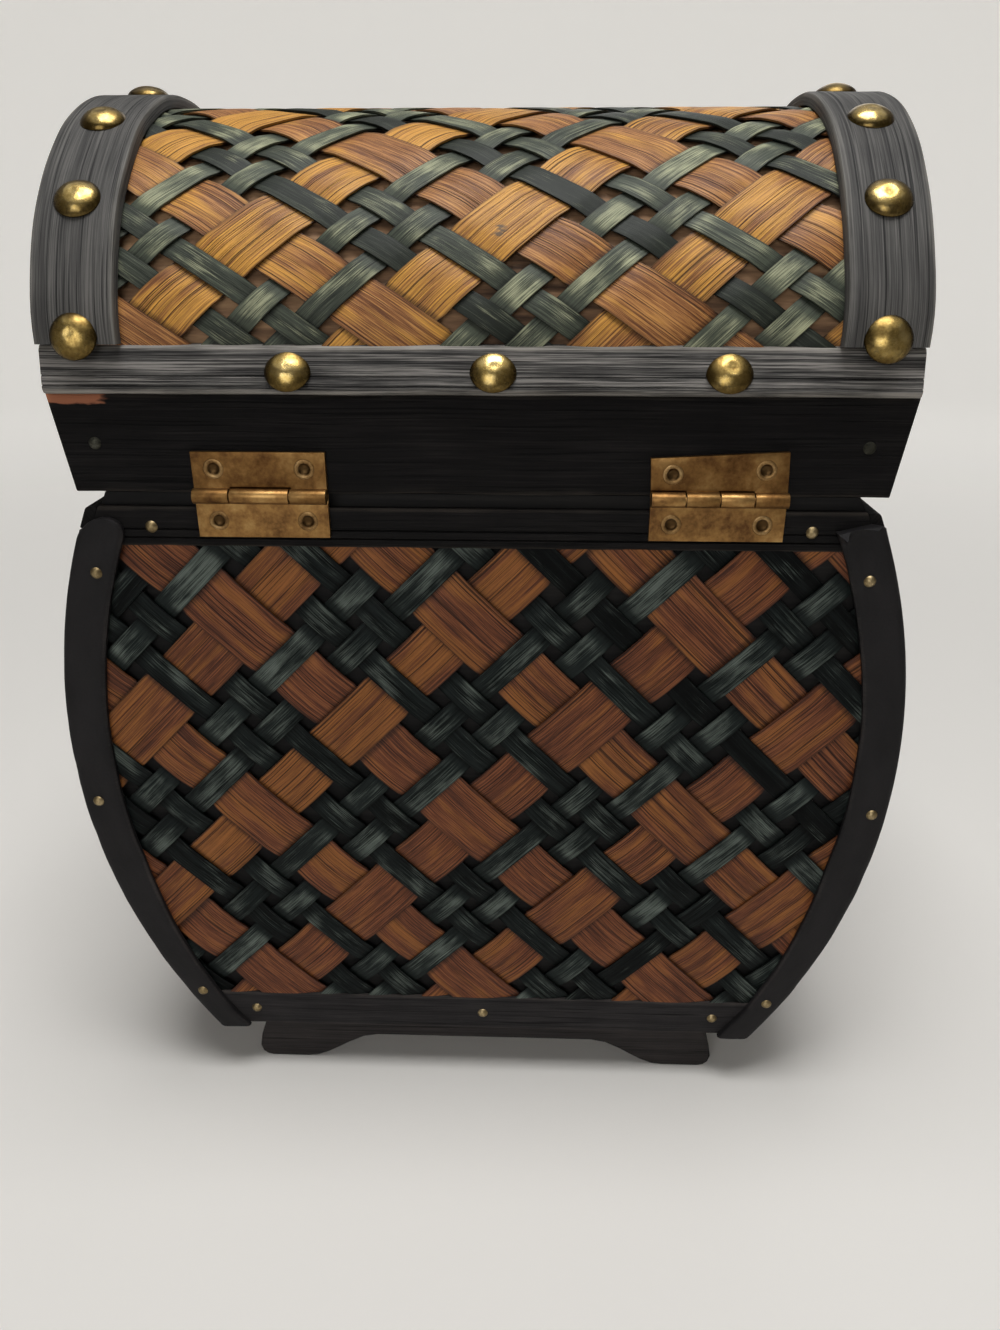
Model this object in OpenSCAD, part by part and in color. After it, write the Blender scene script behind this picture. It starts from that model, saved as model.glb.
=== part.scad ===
// Bow-sided woven keepsake chest with a domed, hinged lid.
// Two flat boards and two bowed end boards make the body, and a rim, two gables and an arched
// backing make the lid. Woven mats cover the faces, with rails, strips and straps nailed over
// their edges. The hinges are on the back, at +Y, and the chest stands on Z = 0.
// Left and right are named as seen from the front. All sizes are in millimetres.

/* [Body] */
// Widest width over the bowed end boards
body_w = 171; // [160:1:200]
// Depth over the front and back boards
body_d = 100; // [85:1:130]
// Height of the body's top edge above the table
body_top = 145.5; // [130:0.5:170]
// Radius of the bowed ends
bow_r = 129; // [105:1:180]
// Height of the widest point above the table
bow_z = 89; // [70:1:100]
// Thickness of the front, back and end boards
board_t = 4; // [3:0.5:6]
// Thickness of the bottom board
floor_t = 4; // [3:0.5:6]

/* [Feet] */
// Height of the feet under the body
foot_h = 14; // [9:0.5:18]
// Thickness of the foot boards
foot_t = 6; // [4:0.5:10]
// How far the foot boards stand in from the faces of the front and back boards
foot_in = 1.5; // [0:0.5:5]
// Length of a foot board over both feet
foot_span = 113; // [90:1:125]
// Width of the flat sole of one foot
foot_sole = 12; // [8:0.5:20]
// Run of the slope from the sole up to the apron
foot_slope = 18; // [10:1:26]
// Height of the apron between the feet
apron_h = 6.5; // [3:0.5:8]
// Radius of the rounded outer edge of a foot
foot_round = 3; // [1:0.25:4]

/* [Mats] */
// Thickness of the woven mats, and of the body rails that lie level with them
mat_t = 2; // [1.2:0.1:3]
// Room left behind a mat or strap that lies on a curved board
curve_gap = 0.1; // [0.05:0.05:0.3]

/* [Body rails and strips] */
// Height of the top rails
top_rail_h = 7.8; // [5:0.2:12]
// Distance from the body's top edge down to the top rails
top_rail_drop = 2.5; // [1:0.5:5]
// Height of the bottom rails
low_rail_h = 9.5; // [6:0.5:14]
// Depth of the scratched lines along the wooden rails
line_depth = 0.4; // [0.2:0.1:0.6]
// Width of the scratched lines
line_w = 0.5; // [0.3:0.1:0.8]
// Distance from one scratched line to the next
line_step = 1.7; // [1:0.1:2.2]
// Width of the leather edge strips on the front and back boards
strip_w = 6.5; // [5:0.5:12]
// How far the edge strips fold round onto the bowed ends
strip_wrap = 8; // [5:0.5:14]
// Thickness of the edge strips
strip_t = 1.5; // [0.8:0.1:2.5]
// Distance from the body's top edge down to the strips' round ends
strip_drop = 4.5; // [2:0.5:10]

/* [Lid] */
// How far the rim's lower corners pass the body's top corners
rim_over = 4.6; // [2:0.1:7]
// Gap between the closed lid and the body
lid_gap = 0.4; // [0.3:0.1:1]
// Height of the rim below the lid rails
rim_h = 18.6; // [14:0.2:26]
// Thickness of the rim boards
rim_t = 7; // [6:0.5:10]
// How far the rim's top corners pass the ends of the lid rails
rim_lip = 0.8; // [0:0.1:2]
// How far the rim draws in from its top corners to its lower corners
rim_taper = 2.8; // [0:0.1:4]
// Height of the lid rails
lid_rail_h = 8.6; // [6:0.2:12]
// How far the front and back lid rails stand out from the rim
rail_proud = 2.5; // [1:0.25:4]
// How far the arched backing stands in from the rim's face
shell_in = 1.5; // [0.5:0.25:3]
// Rise of the arched backing above the lid rails
dome_rise = 40; // [32:0.5:48]
// Radius of the arch at its shoulders
shoulder_r = 18; // [12:0.5:26]
// Thickness of the arched backing
shell_t = 3; // [2:0.25:4]
// Thickness of the gable boards
gable_t = 4; // [3:0.5:6]
// Thickness of the arched trim on the gables
trim_t = 2; // [1.2:0.1:3]
// Width of the arched trim on the gables
trim_w = 9; // [6:0.5:14]
// Width of the straps over the dome
strap_w = 15; // [10:0.5:20]
// Thickness of the straps
strap_t = 2.5; // [1.5:0.1:4]
// Gap between the lower ends of the straps and the lid rails
strap_lift = 0.6; // [0.3:0.1:2]

/* [Nails and brads] */
// Width of a dome nail's head
nail_d = 8.6; // [7:0.1:11]
// Height of a dome nail's head
nail_h = 2.6; // [1.6:0.1:3.4]
// Width of a dome nail's shank
nail_shank_d = 1.6; // [1:0.1:2.2]
// Length of a dome nail's shank
nail_shank_l = 6.4; // [4:0.2:8]
// Width of a brad's head
brad_d = 2.4; // [1.6:0.1:3.2]
// Height of a brad's head
brad_h = 0.7; // [0.4:0.1:1]
// Width of a brad's shank
brad_shank_d = 1; // [0.7:0.1:1.4]
// Length of a brad's shank
brad_shank_l = 5; // [4:0.2:5.4]
// Room around the shanks in their holes
shank_gap = 0.05; // [0.02:0.01:0.1]
// Room below the tips of the nails, brads and screws in their holes
hole_room = 0.4; // [0.2:0.1:0.6]
// Nails on the end rails: distance of their heads in from the rails' ends
end_nail_in = 1; // [0.5:0.5:8]
// Nails on the end rails: gap between their heads and the rim
end_nail_up = 0.3; // [0.2:0.1:1]
// Brads on the top rails: distance in from the body's corners
rail_brad_in = 10; // [8:0.5:20]
// Brads on the bottom rails: distance out from the middle
low_brad_x = 55; // [40:1:60]
// Brads on the strips: distance in from a strip's ends
strip_brad_in = 11; // [6:0.5:20]
// Brads on the rim: distance in from its ends
rim_brad_in = 5; // [3:0.5:10]

/* [Hinges] */
// Length of a hinge
hinge_l = 25.4; // [19:0.2:32]
// Distance of the right hinge in from the body's top corner
hinge_in_right = 18.5; // [12:0.5:30]
// Distance of the left hinge in from the body's top corner
hinge_in_left = 14.5; // [12:0.5:30]
// Width of one leaf, from the pin to its edge
leaf_w = 8.2; // [7:0.2:10]
// Thickness of the leaves
leaf_t = 1; // [0.7:0.1:1.4]
// Tilt of the left hinge's upper leaf, in degrees
leaf_tilt = 3; // [0:0.5:4]
// Outer width of a knuckle
knuckle_d = 2.9; // [2.5:0.1:4]
// Gap between a knuckle and the faces that it turns past
knuckle_gap = 0.35; // [0.3:0.05:0.6]
// Gap between one knuckle and the next
knuckle_split = 0.3; // [0.2:0.05:0.5]
// Length of the outer knuckles on the right hinge
outer_knuckle_l = 7; // [5:0.2:9]
// Width of the hinge pins
pin_d = 1.4; // [1:0.1:1.8]
// Running clearance all round the pins
pin_gap = 0.05; // [0.02:0.01:0.1]
// Width of a hinge screw's head
screw_d = 3.8; // [3:0.1:4.4]
// Depth of a screw's countersink
screw_sink = 1; // [0.7:0.1:1.2]
// Width of a screw's shank
screw_shank_d = 1.8; // [1.2:0.1:2.2]
// Length of a screw
screw_l = 5.4; // [4:0.2:6]
// Distance of the screws in from a hinge's ends
screw_in = 4.1; // [3:0.1:6]
// Distance of the screws from the pin
screw_up = 5; // [4:0.1:6]
// Room around a screw in its hole
screw_gap = 0.05; // [0.02:0.01:0.1]
// Width of the slot in a screw's head
slot_w = 0.5; // [0.3:0.1:1]
// Depth of the slot in a screw's head
slot_depth = 0.35; // [0.2:0.05:0.6]

/* [Hidden] */
$fn = 72;
// How far a cut passes the face that it opens
cut_over = 1;
// The bowed ends are arcs about this point, mirrored for the left end
bow_x = body_w / 2 - bow_r;
function bow_at(r, z) = bow_x + sqrt(r * r - pow(z - bow_z, 2));
// Outer radius of the mats and rails on the bowed ends, and the edge strips' whole band
end_r = bow_r + curve_gap + mat_t;
strip_band = end_r - bow_r + strip_w;
strip_r = end_r - strip_band / 2;
// Faces at the back, from the middle of the chest out
back_face = body_d / 2 + mat_t;
strip_face = back_face + strip_t;
rail_face = back_face + rail_proud;
// The body's top corners, the rim's corners and the faces at the ends of the lid
top_x = bow_at(bow_r, body_top);
rim_low_x = top_x + rim_over;
rim_top_x = rim_low_x + rim_taper;
end_face = rim_top_x - rim_lip;
trim_in = end_face - trim_t;
gable_out = trim_in - mat_t;
// Heights, from the table up
low_z = foot_h + low_rail_h;
top_z1 = body_top - top_rail_drop;
top_z0 = top_z1 - top_rail_h;
strip_z1 = body_top - strip_drop - strip_band / 2;
rim_z0 = body_top + lid_gap;
rim_z1 = rim_z0 + rim_h;
spring_z = rim_z1 + lid_rail_h;
// The arch has two shoulder arcs and a wider crown arc that meets them smoothly
arch_a = back_face - shell_in;
shoulder_y = arch_a - shoulder_r;
crown_r = (pow(arch_a, 2) + pow(dome_rise, 2) - 2 * arch_a * shoulder_r)
    / (2 * (dome_rise - shoulder_r));
crown_z = spring_z + dome_rise - crown_r;
meet_angle = atan2(spring_z - crown_z, shoulder_y);
// Point on the arch where its face looks up by angle e, off millimetres outside the backing
function arch_point(e, off) =
    let (side = e < meet_angle ? 1 : e > 180 - meet_angle ? -1 : 0)
    side == 0 ? [(crown_r + off) * cos(e), crown_z + (crown_r + off) * sin(e)] :
    [side * shoulder_y + (shoulder_r + off) * cos(e), spring_z + (shoulder_r + off) * sin(e)];
// The hinge pins share one axis at the back, level with the gap under the lid
pin_y = back_face + knuckle_gap + knuckle_d / 2;
pin_z = body_top + lid_gap / 2;
screw_x = hinge_l / 2 - screw_in;
hinge_x_right = top_x - hinge_in_right - hinge_l / 2;
hinge_x_left = top_x - hinge_in_left - hinge_l / 2;
// Where the nails and brads go
rail_nail_x = [-45, -3, 34];
end_nail_y = [for (s = [-1, 0, 1]) s * (arch_a - nail_d / 2 - end_nail_in)];
end_nail_z = rim_z1 + end_nail_up + nail_d / 2;
strap_nail_e = [4, 40, 62, 90, 118, 140, 176];
gable_nail_e = [45, 90, 135];
strip_brad_z0 = foot_h + strip_brad_in;
strip_brad_z1 = strip_z1 + strip_band / 2 - strip_brad_in;
strip_brad_z = [strip_brad_z0, (strip_brad_z0 + strip_brad_z1) / 2, strip_brad_z1];
// How far these brads stand in from the strips' outer edge, from the lowest up
strip_brad_edge = [3.4, 3.4, 5.3];
// Far enough to pass any piece
far = body_w + body_d + 2 * rim_top_x;

// Helpers

// Extrudes a shape drawn in X and Z from y0 over a thickness t
module slab_y(y0, t) { translate([0, y0 + t, 0]) rotate([90, 0, 0]) linear_extrude(t) children(); }

// Extrudes a shape drawn in Y and Z from x0 over a thickness t
module slab_x(x0, t) { translate([x0, 0, 0]) rotate([90, 0, 90]) linear_extrude(t) children(); }

// The same piece on the right or, mirrored, on the left
module on_end(s) { if (s > 0) children(); else mirror([1, 0, 0]) children(); }

// The same piece on the back or, mirrored, on the front
module on_face(s) { if (s > 0) children(); else mirror([0, 1, 0]) children(); }

// A band between two heights
module band(z0, z1) { translate([-far / 2, z0]) square([far, z1 - z0]); }

// The right half of such a band
module half_band(z0, z1) { translate([0, z0]) square([far / 2, z1 - z0]); }

module bow_disc(r) { translate([bow_x, bow_z]) circle(r); }

// Outline of the flat boards between two heights
module bow_outline(z0, z1, r = bow_r) {
    intersection() {
        bow_disc(r);
        mirror([1, 0]) bow_disc(r);
        band(z0, z1);
    }
}

// Section of a sheet that follows the right end between two radii
module bow_sheet(r0, r1, z0, z1) {
    intersection() {
        difference() { bow_disc(r1); bow_disc(r0); }
        half_band(z0, z1);
    }
}

// The arch above the lid rails, off millimetres outside the backing
module arch(off, z0 = spring_z) {
    wedge_y = far * cos(meet_angle);
    wedge_z = far * sin(meet_angle);
    intersection() {
        union() {
            translate([0, crown_z]) intersection() {
                circle(crown_r + off);
                polygon([[0, 0], [wedge_y, wedge_z], [wedge_y, far], [-wedge_y, far],
                         [-wedge_y, wedge_z]]);
            }
            for (s = [-1, 1]) translate([s * shoulder_y, spring_z]) circle(shoulder_r + off);
        }
        band(z0, z0 + far);
    }
}

// The arch with its straight foot behind the lid rails
module arch_on_foot(off) {
    arch(off);
    translate([-(arch_a + off), rim_z1]) square([2 * (arch_a + off), lid_rail_h]);
}

// A nail or brad: round head on the surface, shank below it
module tack(d, h, shank_d, shank_l) {
    r = (d * d / 4 + h * h) / (2 * h);
    rotate_extrude() intersection() {
        translate([0, h - r]) circle(r);
        square([d, h]);
    }
    translate([0, 0, -shank_l]) cylinder(d = shank_d, h = shank_l);
}

module tack_hole(shank_d, shank_l) {
    translate([0, 0, -shank_l - hole_room])
        cylinder(d = shank_d + 2 * shank_gap, h = shank_l + hole_room + cut_over);
}

module dome_nail() { tack(nail_d, nail_h, nail_shank_d, nail_shank_l); }
module dome_nail_hole() { tack_hole(nail_shank_d, nail_shank_l); }
module brad() { tack(brad_d, brad_h, brad_shank_d, brad_shank_l); }
module brad_hole() { tack_hole(brad_shank_d, brad_shank_l); }

// Places for the nails and brads, with Z out of the surface

module out_y() { rotate([-90, 0, 0]) children(); }

module at_rail_nails() {
    for (s = [-1, 1]) {
        on_face(s) for (x = rail_nail_x)
            translate([x, rail_face, (rim_z1 + spring_z) / 2]) out_y() children();
        on_end(s) for (y = end_nail_y)
            translate([end_face, y, end_nail_z]) rotate([0, 90, 0]) children();
    }
}

module at_strap_nails() {
    for (s = [-1, 1], e = strap_nail_e) {
        p = arch_point(e, mat_t + strap_t);
        translate([s * (end_face - strap_w / 2), p[0], p[1]]) rotate([e - 90, 0, 0]) children();
    }
}

module at_gable_nails() {
    for (s = [-1, 1], e = gable_nail_e) {
        p = arch_point(e, mat_t - trim_w / 2);
        on_end(s) translate([end_face, p[0], p[1]]) rotate([0, 90, 0]) children();
    }
}

module at_body_brads() {
    for (s = [-1, 1]) {
        for (i = [0 : len(strip_brad_z) - 1]) {
            z = strip_brad_z[i];
            translate([s * bow_at(end_r - strip_brad_edge[i], z), strip_face, z]) out_y() children();
        }
        translate([s * (bow_at(bow_r, top_z1) - rail_brad_in), back_face, (top_z0 + top_z1) / 2])
            out_y() children();
    }
    for (s = [-1, 0, 1])
        translate([s * low_brad_x, back_face, foot_h + low_rail_h / 2]) out_y() children();
}

module at_rim_brads() {
    for (f = [-1, 1], s = [-1, 1]) on_face(f)
        translate([s * (rim_low_x - rim_brad_in), back_face, rim_z0 + rim_h / 2]) out_y() children();
}

// Body boards

module bottom_board() {
    inner = body_d / 2 - board_t;
    color("saddlebrown") slab_y(-inner, 2 * inner)
        bow_outline(foot_h, foot_h + floor_t, bow_r - board_t - curve_gap);
}

module face_board() {
    difference() {
        slab_y(body_d / 2 - board_t, board_t) bow_outline(foot_h, body_top);
        at_body_brads() brad_hole();
    }
}

module back_board() {
    color("#2b2624") difference() {
        face_board();
        at_lower_screws() screw_hole();
    }
}

module front_board() { color("#2b2624") on_face(-1) face_board(); }

module end_board() {
    inner = body_d / 2 - board_t;
    slab_y(-inner, 2 * inner) bow_sheet(bow_r - board_t, bow_r, foot_h, body_top);
}

module left_end_board() { color("#332c29") on_end(-1) end_board(); }
module right_end_board() { color("#332c29") on_end(1) end_board(); }

// Body mats

module face_weave() {
    difference() {
        slab_y(body_d / 2, mat_t) bow_outline(low_z, top_z0);
        at_body_brads() brad_hole();
    }
}

module back_weave() { color("peru") face_weave(); }
module front_weave() { color("peru") on_face(-1) face_weave(); }

// A piece that follows the bowed end, level with the mats, between two places across it
module end_layer(z0, z1, y0 = -back_face, y1 = back_face) {
    slab_y(y0, y1 - y0) bow_sheet(bow_r + curve_gap, end_r, z0, z1);
}

// The end mats lie between the edges of the folded leather
module end_weave() { end_layer(low_z, top_z0, strip_wrap - back_face, back_face - strip_wrap); }

module left_end_weave() { color("peru") on_end(-1) end_weave(); }
module right_end_weave() { color("peru") on_end(1) end_weave(); }

// Body rails

// Lines scratched along the face of a rail, above its lower edge
module face_lines(face, z0, count) {
    for (i = [1 : count])
        translate([-far / 2, face - line_depth, z0 + i * line_step - line_w / 2])
            cube([far, line_depth + cut_over, line_w]);
}

module face_top_rail() {
    difference() {
        slab_y(body_d / 2, mat_t) bow_outline(top_z0, top_z1);
        face_lines(back_face, top_z0, 2);
        at_body_brads() brad_hole();
    }
}

module back_top_rail() {
    color("#201d1c") difference() {
        face_top_rail();
        at_lower_screws() screw_hole();
    }
}

module front_top_rail() { color("#201d1c") on_face(-1) face_top_rail(); }
module left_top_rail() { color("#201d1c") on_end(-1) end_layer(top_z0, top_z1); }
module right_top_rail() { color("#201d1c") on_end(1) end_layer(top_z0, top_z1); }

module face_low_rail() {
    difference() {
        slab_y(body_d / 2, mat_t) bow_outline(foot_h, low_z);
        at_body_brads() brad_hole();
    }
}

module back_low_rail() { color("#262120") face_low_rail(); }
module front_low_rail() { color("#262120") on_face(-1) face_low_rail(); }
module left_low_rail() { color("#262120") on_end(-1) end_layer(foot_h, low_z); }
module right_low_rail() { color("#262120") on_end(1) end_layer(foot_h, low_z); }

// Leather edge strips with a round upper end, folded round the corner between the end rails

module edge_strip() {
    difference() {
        union() {
            slab_y(back_face, strip_t) {
                bow_sheet(bow_r - strip_w, end_r, foot_h, strip_z1);
                translate([bow_at(strip_r, strip_z1), strip_z1]) intersection() {
                    circle(d = strip_band);
                    translate([-strip_band, -cut_over]) square(2 * strip_band);
                }
            }
            end_layer(low_z, top_z0, back_face - strip_wrap, strip_face);
        }
        at_body_brads() brad_hole();
    }
}

module back_left_strip() { color("#1b1818") on_end(-1) edge_strip(); }
module back_right_strip() { color("#1b1818") edge_strip(); }
module front_left_strip() { color("#1b1818") on_end(-1) on_face(-1) edge_strip(); }
module front_right_strip() { color("#1b1818") on_face(-1) edge_strip(); }

// Feet

// Right half of a foot board's outline, from the middle to the rounded foot
module half_foot() {
    x2 = foot_span / 2;
    x1 = x2 - foot_sole;
    polygon([[0, foot_h], [0, foot_h - apron_h], [x1 - foot_slope, foot_h - apron_h],
             [x1 - foot_slope / 2, (foot_h - apron_h) * 0.55], [x1, 0], [x2 - foot_round, 0],
             [x2 - foot_round, foot_round], [x2, foot_round], [x2 - foot_round, foot_h]]);
    translate([x2 - foot_round, foot_round]) circle(foot_round);
}

module foot_board() {
    slab_y(body_d / 2 - foot_in - foot_t, foot_t) union() {
        half_foot();
        mirror([1, 0]) half_foot();
    }
}

module back_foot_board() { color("#2a2523") foot_board(); }
module front_foot_board() { color("#2a2523") on_face(-1) foot_board(); }

// Brads

module back_brads() { color("goldenrod") at_body_brads() brad(); }
module front_brads() { color("goldenrod") on_face(-1) at_body_brads() brad(); }

// Lid rim

module face_rim() {
    difference() {
        slab_y(back_face - rim_t, rim_t) polygon([
            [-rim_low_x, rim_z0], [rim_low_x, rim_z0], [rim_top_x, rim_z1], [-rim_top_x, rim_z1]]);
        at_rim_brads() brad_hole();
    }
}

module back_rim() {
    color("#1d1a1a") difference() {
        face_rim();
        at_upper_screws() screw_hole();
    }
}

module front_rim() { color("#1d1a1a") on_face(-1) face_rim(); }

module end_rim() {
    inner = back_face - rim_t;
    slab_y(-inner, 2 * inner) polygon([
        [rim_low_x - rim_t, rim_z0], [rim_low_x, rim_z0],
        [rim_top_x, rim_z1], [rim_top_x - rim_t, rim_z1]]);
}

module left_rim() { color("#1d1a1a") on_end(-1) end_rim(); }
module right_rim() { color("#1d1a1a") on_end(1) end_rim(); }

module rim_brads() { color("goldenrod") at_rim_brads() brad(); }

// Lid dome

module gable() {
    difference() {
        slab_x(gable_out - gable_t, gable_t) arch_on_foot(-shell_t - curve_gap);
        at_rail_nails() dome_nail_hole();
        at_strap_nails() dome_nail_hole();
        at_gable_nails() dome_nail_hole();
    }
}

module left_gable() { color("burlywood") on_end(-1) gable(); }
module right_gable() { color("burlywood") gable(); }

module dome_shell() {
    color("tan") difference() {
        slab_x(-gable_out, 2 * gable_out) difference() {
            arch_on_foot(0);
            arch(-shell_t);
            translate([-(arch_a - shell_t), rim_z1 - cut_over])
                square([2 * (arch_a - shell_t), lid_rail_h + cut_over]);
        }
        at_rail_nails() dome_nail_hole();
        at_strap_nails() dome_nail_hole();
        at_gable_nails() dome_nail_hole();
    }
}

// A layer that follows the arch over a width of X
module arch_layer(x0, w, off0, off1, z0 = spring_z) {
    slab_x(x0, w) difference() {
        arch(off1, z0);
        arch(off0, z0 - cut_over);
    }
}

module dome_weave() {
    color("peru") difference() {
        arch_layer(-trim_in, 2 * trim_in, curve_gap, mat_t);
        at_strap_nails() dome_nail_hole();
    }
}

module gable_weave() {
    difference() {
        slab_x(gable_out, mat_t) arch(0);
        at_gable_nails() dome_nail_hole();
    }
}

module left_gable_weave() { color("peru") on_end(-1) gable_weave(); }
module right_gable_weave() { color("peru") gable_weave(); }

module strap() {
    difference() {
        arch_layer(end_face - strap_w, strap_w, mat_t + curve_gap, mat_t + strap_t,
                   spring_z + strap_lift);
        at_strap_nails() dome_nail_hole();
    }
}

module left_strap() { color("#4a4744") on_end(-1) strap(); }
module right_strap() { color("#4a4744") strap(); }

module trim() {
    difference() {
        slab_x(trim_in, trim_t) difference() {
            arch(mat_t);
            arch(mat_t - trim_w, spring_z - cut_over);
        }
        at_gable_nails() dome_nail_hole();
    }
}

module left_trim() { color("#4a4744") on_end(-1) trim(); }
module right_trim() { color("#4a4744") trim(); }

// Lid rails

module face_lid_rail() {
    difference() {
        translate([-end_face, arch_a, rim_z1]) cube([2 * end_face, rail_face - arch_a, lid_rail_h]);
        face_lines(rail_face, rim_z1, 2);
        at_rail_nails() dome_nail_hole();
    }
}

module back_lid_rail() { color("#3d3a38") face_lid_rail(); }
module front_lid_rail() { color("#3d3a38") on_face(-1) face_lid_rail(); }

module end_lid_rail() {
    difference() {
        translate([gable_out, -arch_a, rim_z1]) cube([end_face - gable_out, 2 * arch_a, lid_rail_h]);
        at_rail_nails() dome_nail_hole();
    }
}

module left_lid_rail() { color("#3d3a38") on_end(-1) end_lid_rail(); }
module right_lid_rail() { color("#3d3a38") end_lid_rail(); }

module rail_nails() { color("gold") at_rail_nails() dome_nail(); }
module strap_nails() { color("gold") at_strap_nails() dome_nail(); }
module gable_nails() { color("gold") at_gable_nails() dome_nail(); }

// Hinges

// Screw with its head flush with the leaf's outer face, and its hole
module screw() {
    difference() {
        union() {
            translate([0, 0, -screw_sink]) cylinder(d1 = screw_shank_d, d2 = screw_d, h = screw_sink);
            translate([0, 0, -screw_l]) cylinder(d = screw_shank_d, h = screw_l - screw_sink);
        }
        translate([-screw_d, -slot_w / 2, -slot_depth])
            cube([2 * screw_d, slot_w, slot_depth + cut_over]);
    }
}

module screw_hole() {
    translate([0, 0, -screw_sink])
        cylinder(d1 = screw_shank_d + 2 * screw_gap, d2 = screw_d + 2 * screw_gap, h = screw_sink);
    cylinder(d = screw_d + 2 * screw_gap, h = screw_sink + cut_over);
    translate([0, 0, -screw_l - hole_room])
        cylinder(d = screw_shank_d + 2 * screw_gap, h = screw_l + hole_room);
}

module at_hinge(s) { translate([s > 0 ? hinge_x_right : -hinge_x_left, 0, pin_z]) children(); }

module at_leaf_screws(s, up) {
    tilt = s < 0 && up > 0 ? leaf_tilt : 0;
    for (x = [-screw_x, screw_x])
        at_hinge(s) rotate([0, tilt, 0])
            translate([x, back_face + leaf_t, up * screw_up]) out_y() children();
}

module at_lower_screws() { for (s = [-1, 1]) at_leaf_screws(s, -1) children(); }
module at_upper_screws() { for (s = [-1, 1]) at_leaf_screws(s, 1) children(); }

module lower_screws() { color("darkkhaki") at_lower_screws() screw(); }
module upper_screws() { color("darkkhaki") at_upper_screws() screw(); }

module bar_x(x0, x1, d) { translate([x0, pin_y, 0]) rotate([0, 90, 0]) cylinder(d = d, h = x1 - x0); }

// Ends of the knuckles along a hinge, from its left end to its right end
function knuckle_ends(s) = s > 0 ?
    [-hinge_l / 2, -hinge_l / 2 + outer_knuckle_l, hinge_l / 2 - outer_knuckle_l, hinge_l / 2] :
    [for (i = [0 : 4]) -hinge_l / 2 + i * hinge_l / 4];

// One leaf: own is 0 if it has the first knuckle from the left, or 1 if it has the second
module leaf(s, up, own) {
    ends = knuckle_ends(s);
    last = len(ends) - 2;
    tilt = s < 0 && up > 0 ? leaf_tilt : 0;
    at_hinge(s) difference() {
        union() {
            difference() {
                intersection() {
                    rotate([0, tilt, 0]) translate([-hinge_l / 2, back_face, -leaf_w])
                        cube([hinge_l, leaf_t, 2 * leaf_w]);
                    translate([-hinge_l, 0, up > 0 ? 0 : -2 * leaf_w])
                        cube([2 * hinge_l, far, 2 * leaf_w]);
                }
                for (i = [0 : last]) if (i % 2 != own)
                    bar_x(ends[i] - knuckle_split / 2, ends[i + 1] + knuckle_split / 2,
                          knuckle_d + 2 * knuckle_gap);
            }
            for (i = [0 : last]) if (i % 2 == own)
                bar_x(ends[i] + (i > 0 ? knuckle_split / 2 : 0),
                      ends[i + 1] - (i < last ? knuckle_split / 2 : 0), knuckle_d);
        }
        bar_x(-hinge_l, hinge_l, pin_d + 2 * pin_gap);
        translate([0, 0, -pin_z]) translate([s > 0 ? -hinge_x_right : hinge_x_left, 0, 0])
            at_leaf_screws(s, up) screw_hole();
    }
}

module left_lower_leaf() { color("darkgoldenrod") leaf(-1, -1, 1); }
module right_lower_leaf() { color("darkgoldenrod") leaf(1, -1, 1); }
module left_upper_leaf() { color("darkgoldenrod") leaf(-1, 1, 0); }
module right_upper_leaf() { color("darkgoldenrod") leaf(1, 1, 0); }

module left_pin() { color("khaki") at_hinge(-1) bar_x(-hinge_l / 2, hinge_l / 2, pin_d); }
module right_pin() { color("khaki") at_hinge(1) bar_x(-hinge_l / 2, hinge_l / 2, pin_d); }

bottom_board();
back_board();
front_board();
left_end_board();
right_end_board();
back_weave();
front_weave();
left_end_weave();
right_end_weave();
back_top_rail();
front_top_rail();
left_top_rail();
right_top_rail();
back_low_rail();
front_low_rail();
left_low_rail();
right_low_rail();
back_left_strip();
back_right_strip();
front_left_strip();
front_right_strip();
back_foot_board();
front_foot_board();
back_brads();
front_brads();
left_lower_leaf();
right_lower_leaf();
lower_screws();
back_rim();
front_rim();
left_rim();
right_rim();
rim_brads();
left_gable();
right_gable();
dome_shell();
dome_weave();
left_gable_weave();
right_gable_weave();
left_strap();
right_strap();
left_trim();
right_trim();
back_lid_rail();
front_lid_rail();
left_lid_rail();
right_lid_rail();
rail_nails();
strap_nails();
gable_nails();
left_upper_leaf();
right_upper_leaf();
left_pin();
right_pin();
upper_screws();
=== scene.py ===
# %% [markdown]
# # A woven chest with a domed lid
# The chest stands with its hinged back towards the camera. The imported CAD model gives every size
# and place, and this lesson dresses it: split bamboo is woven over the faces, and the boards,
# straps, leather strips and nails get the worn edges that a plain solid lacks.
# The frame is loaded first, and its box is kept, so that the dressed chest can be compared with it.

# %% Load the frame
import math
import random

import bmesh
import bpy
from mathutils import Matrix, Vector, noise


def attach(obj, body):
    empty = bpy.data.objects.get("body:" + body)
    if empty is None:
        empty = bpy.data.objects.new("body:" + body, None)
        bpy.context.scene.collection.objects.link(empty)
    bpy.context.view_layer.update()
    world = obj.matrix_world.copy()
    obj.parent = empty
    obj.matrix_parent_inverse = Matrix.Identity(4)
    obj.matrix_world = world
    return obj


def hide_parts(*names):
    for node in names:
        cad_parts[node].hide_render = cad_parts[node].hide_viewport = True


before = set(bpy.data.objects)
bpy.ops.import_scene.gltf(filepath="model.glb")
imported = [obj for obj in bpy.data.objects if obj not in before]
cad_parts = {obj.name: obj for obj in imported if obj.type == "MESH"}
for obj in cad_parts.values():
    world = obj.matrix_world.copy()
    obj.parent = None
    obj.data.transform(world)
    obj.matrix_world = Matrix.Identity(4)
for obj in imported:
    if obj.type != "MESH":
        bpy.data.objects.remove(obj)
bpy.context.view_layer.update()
MM = 0.001


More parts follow.
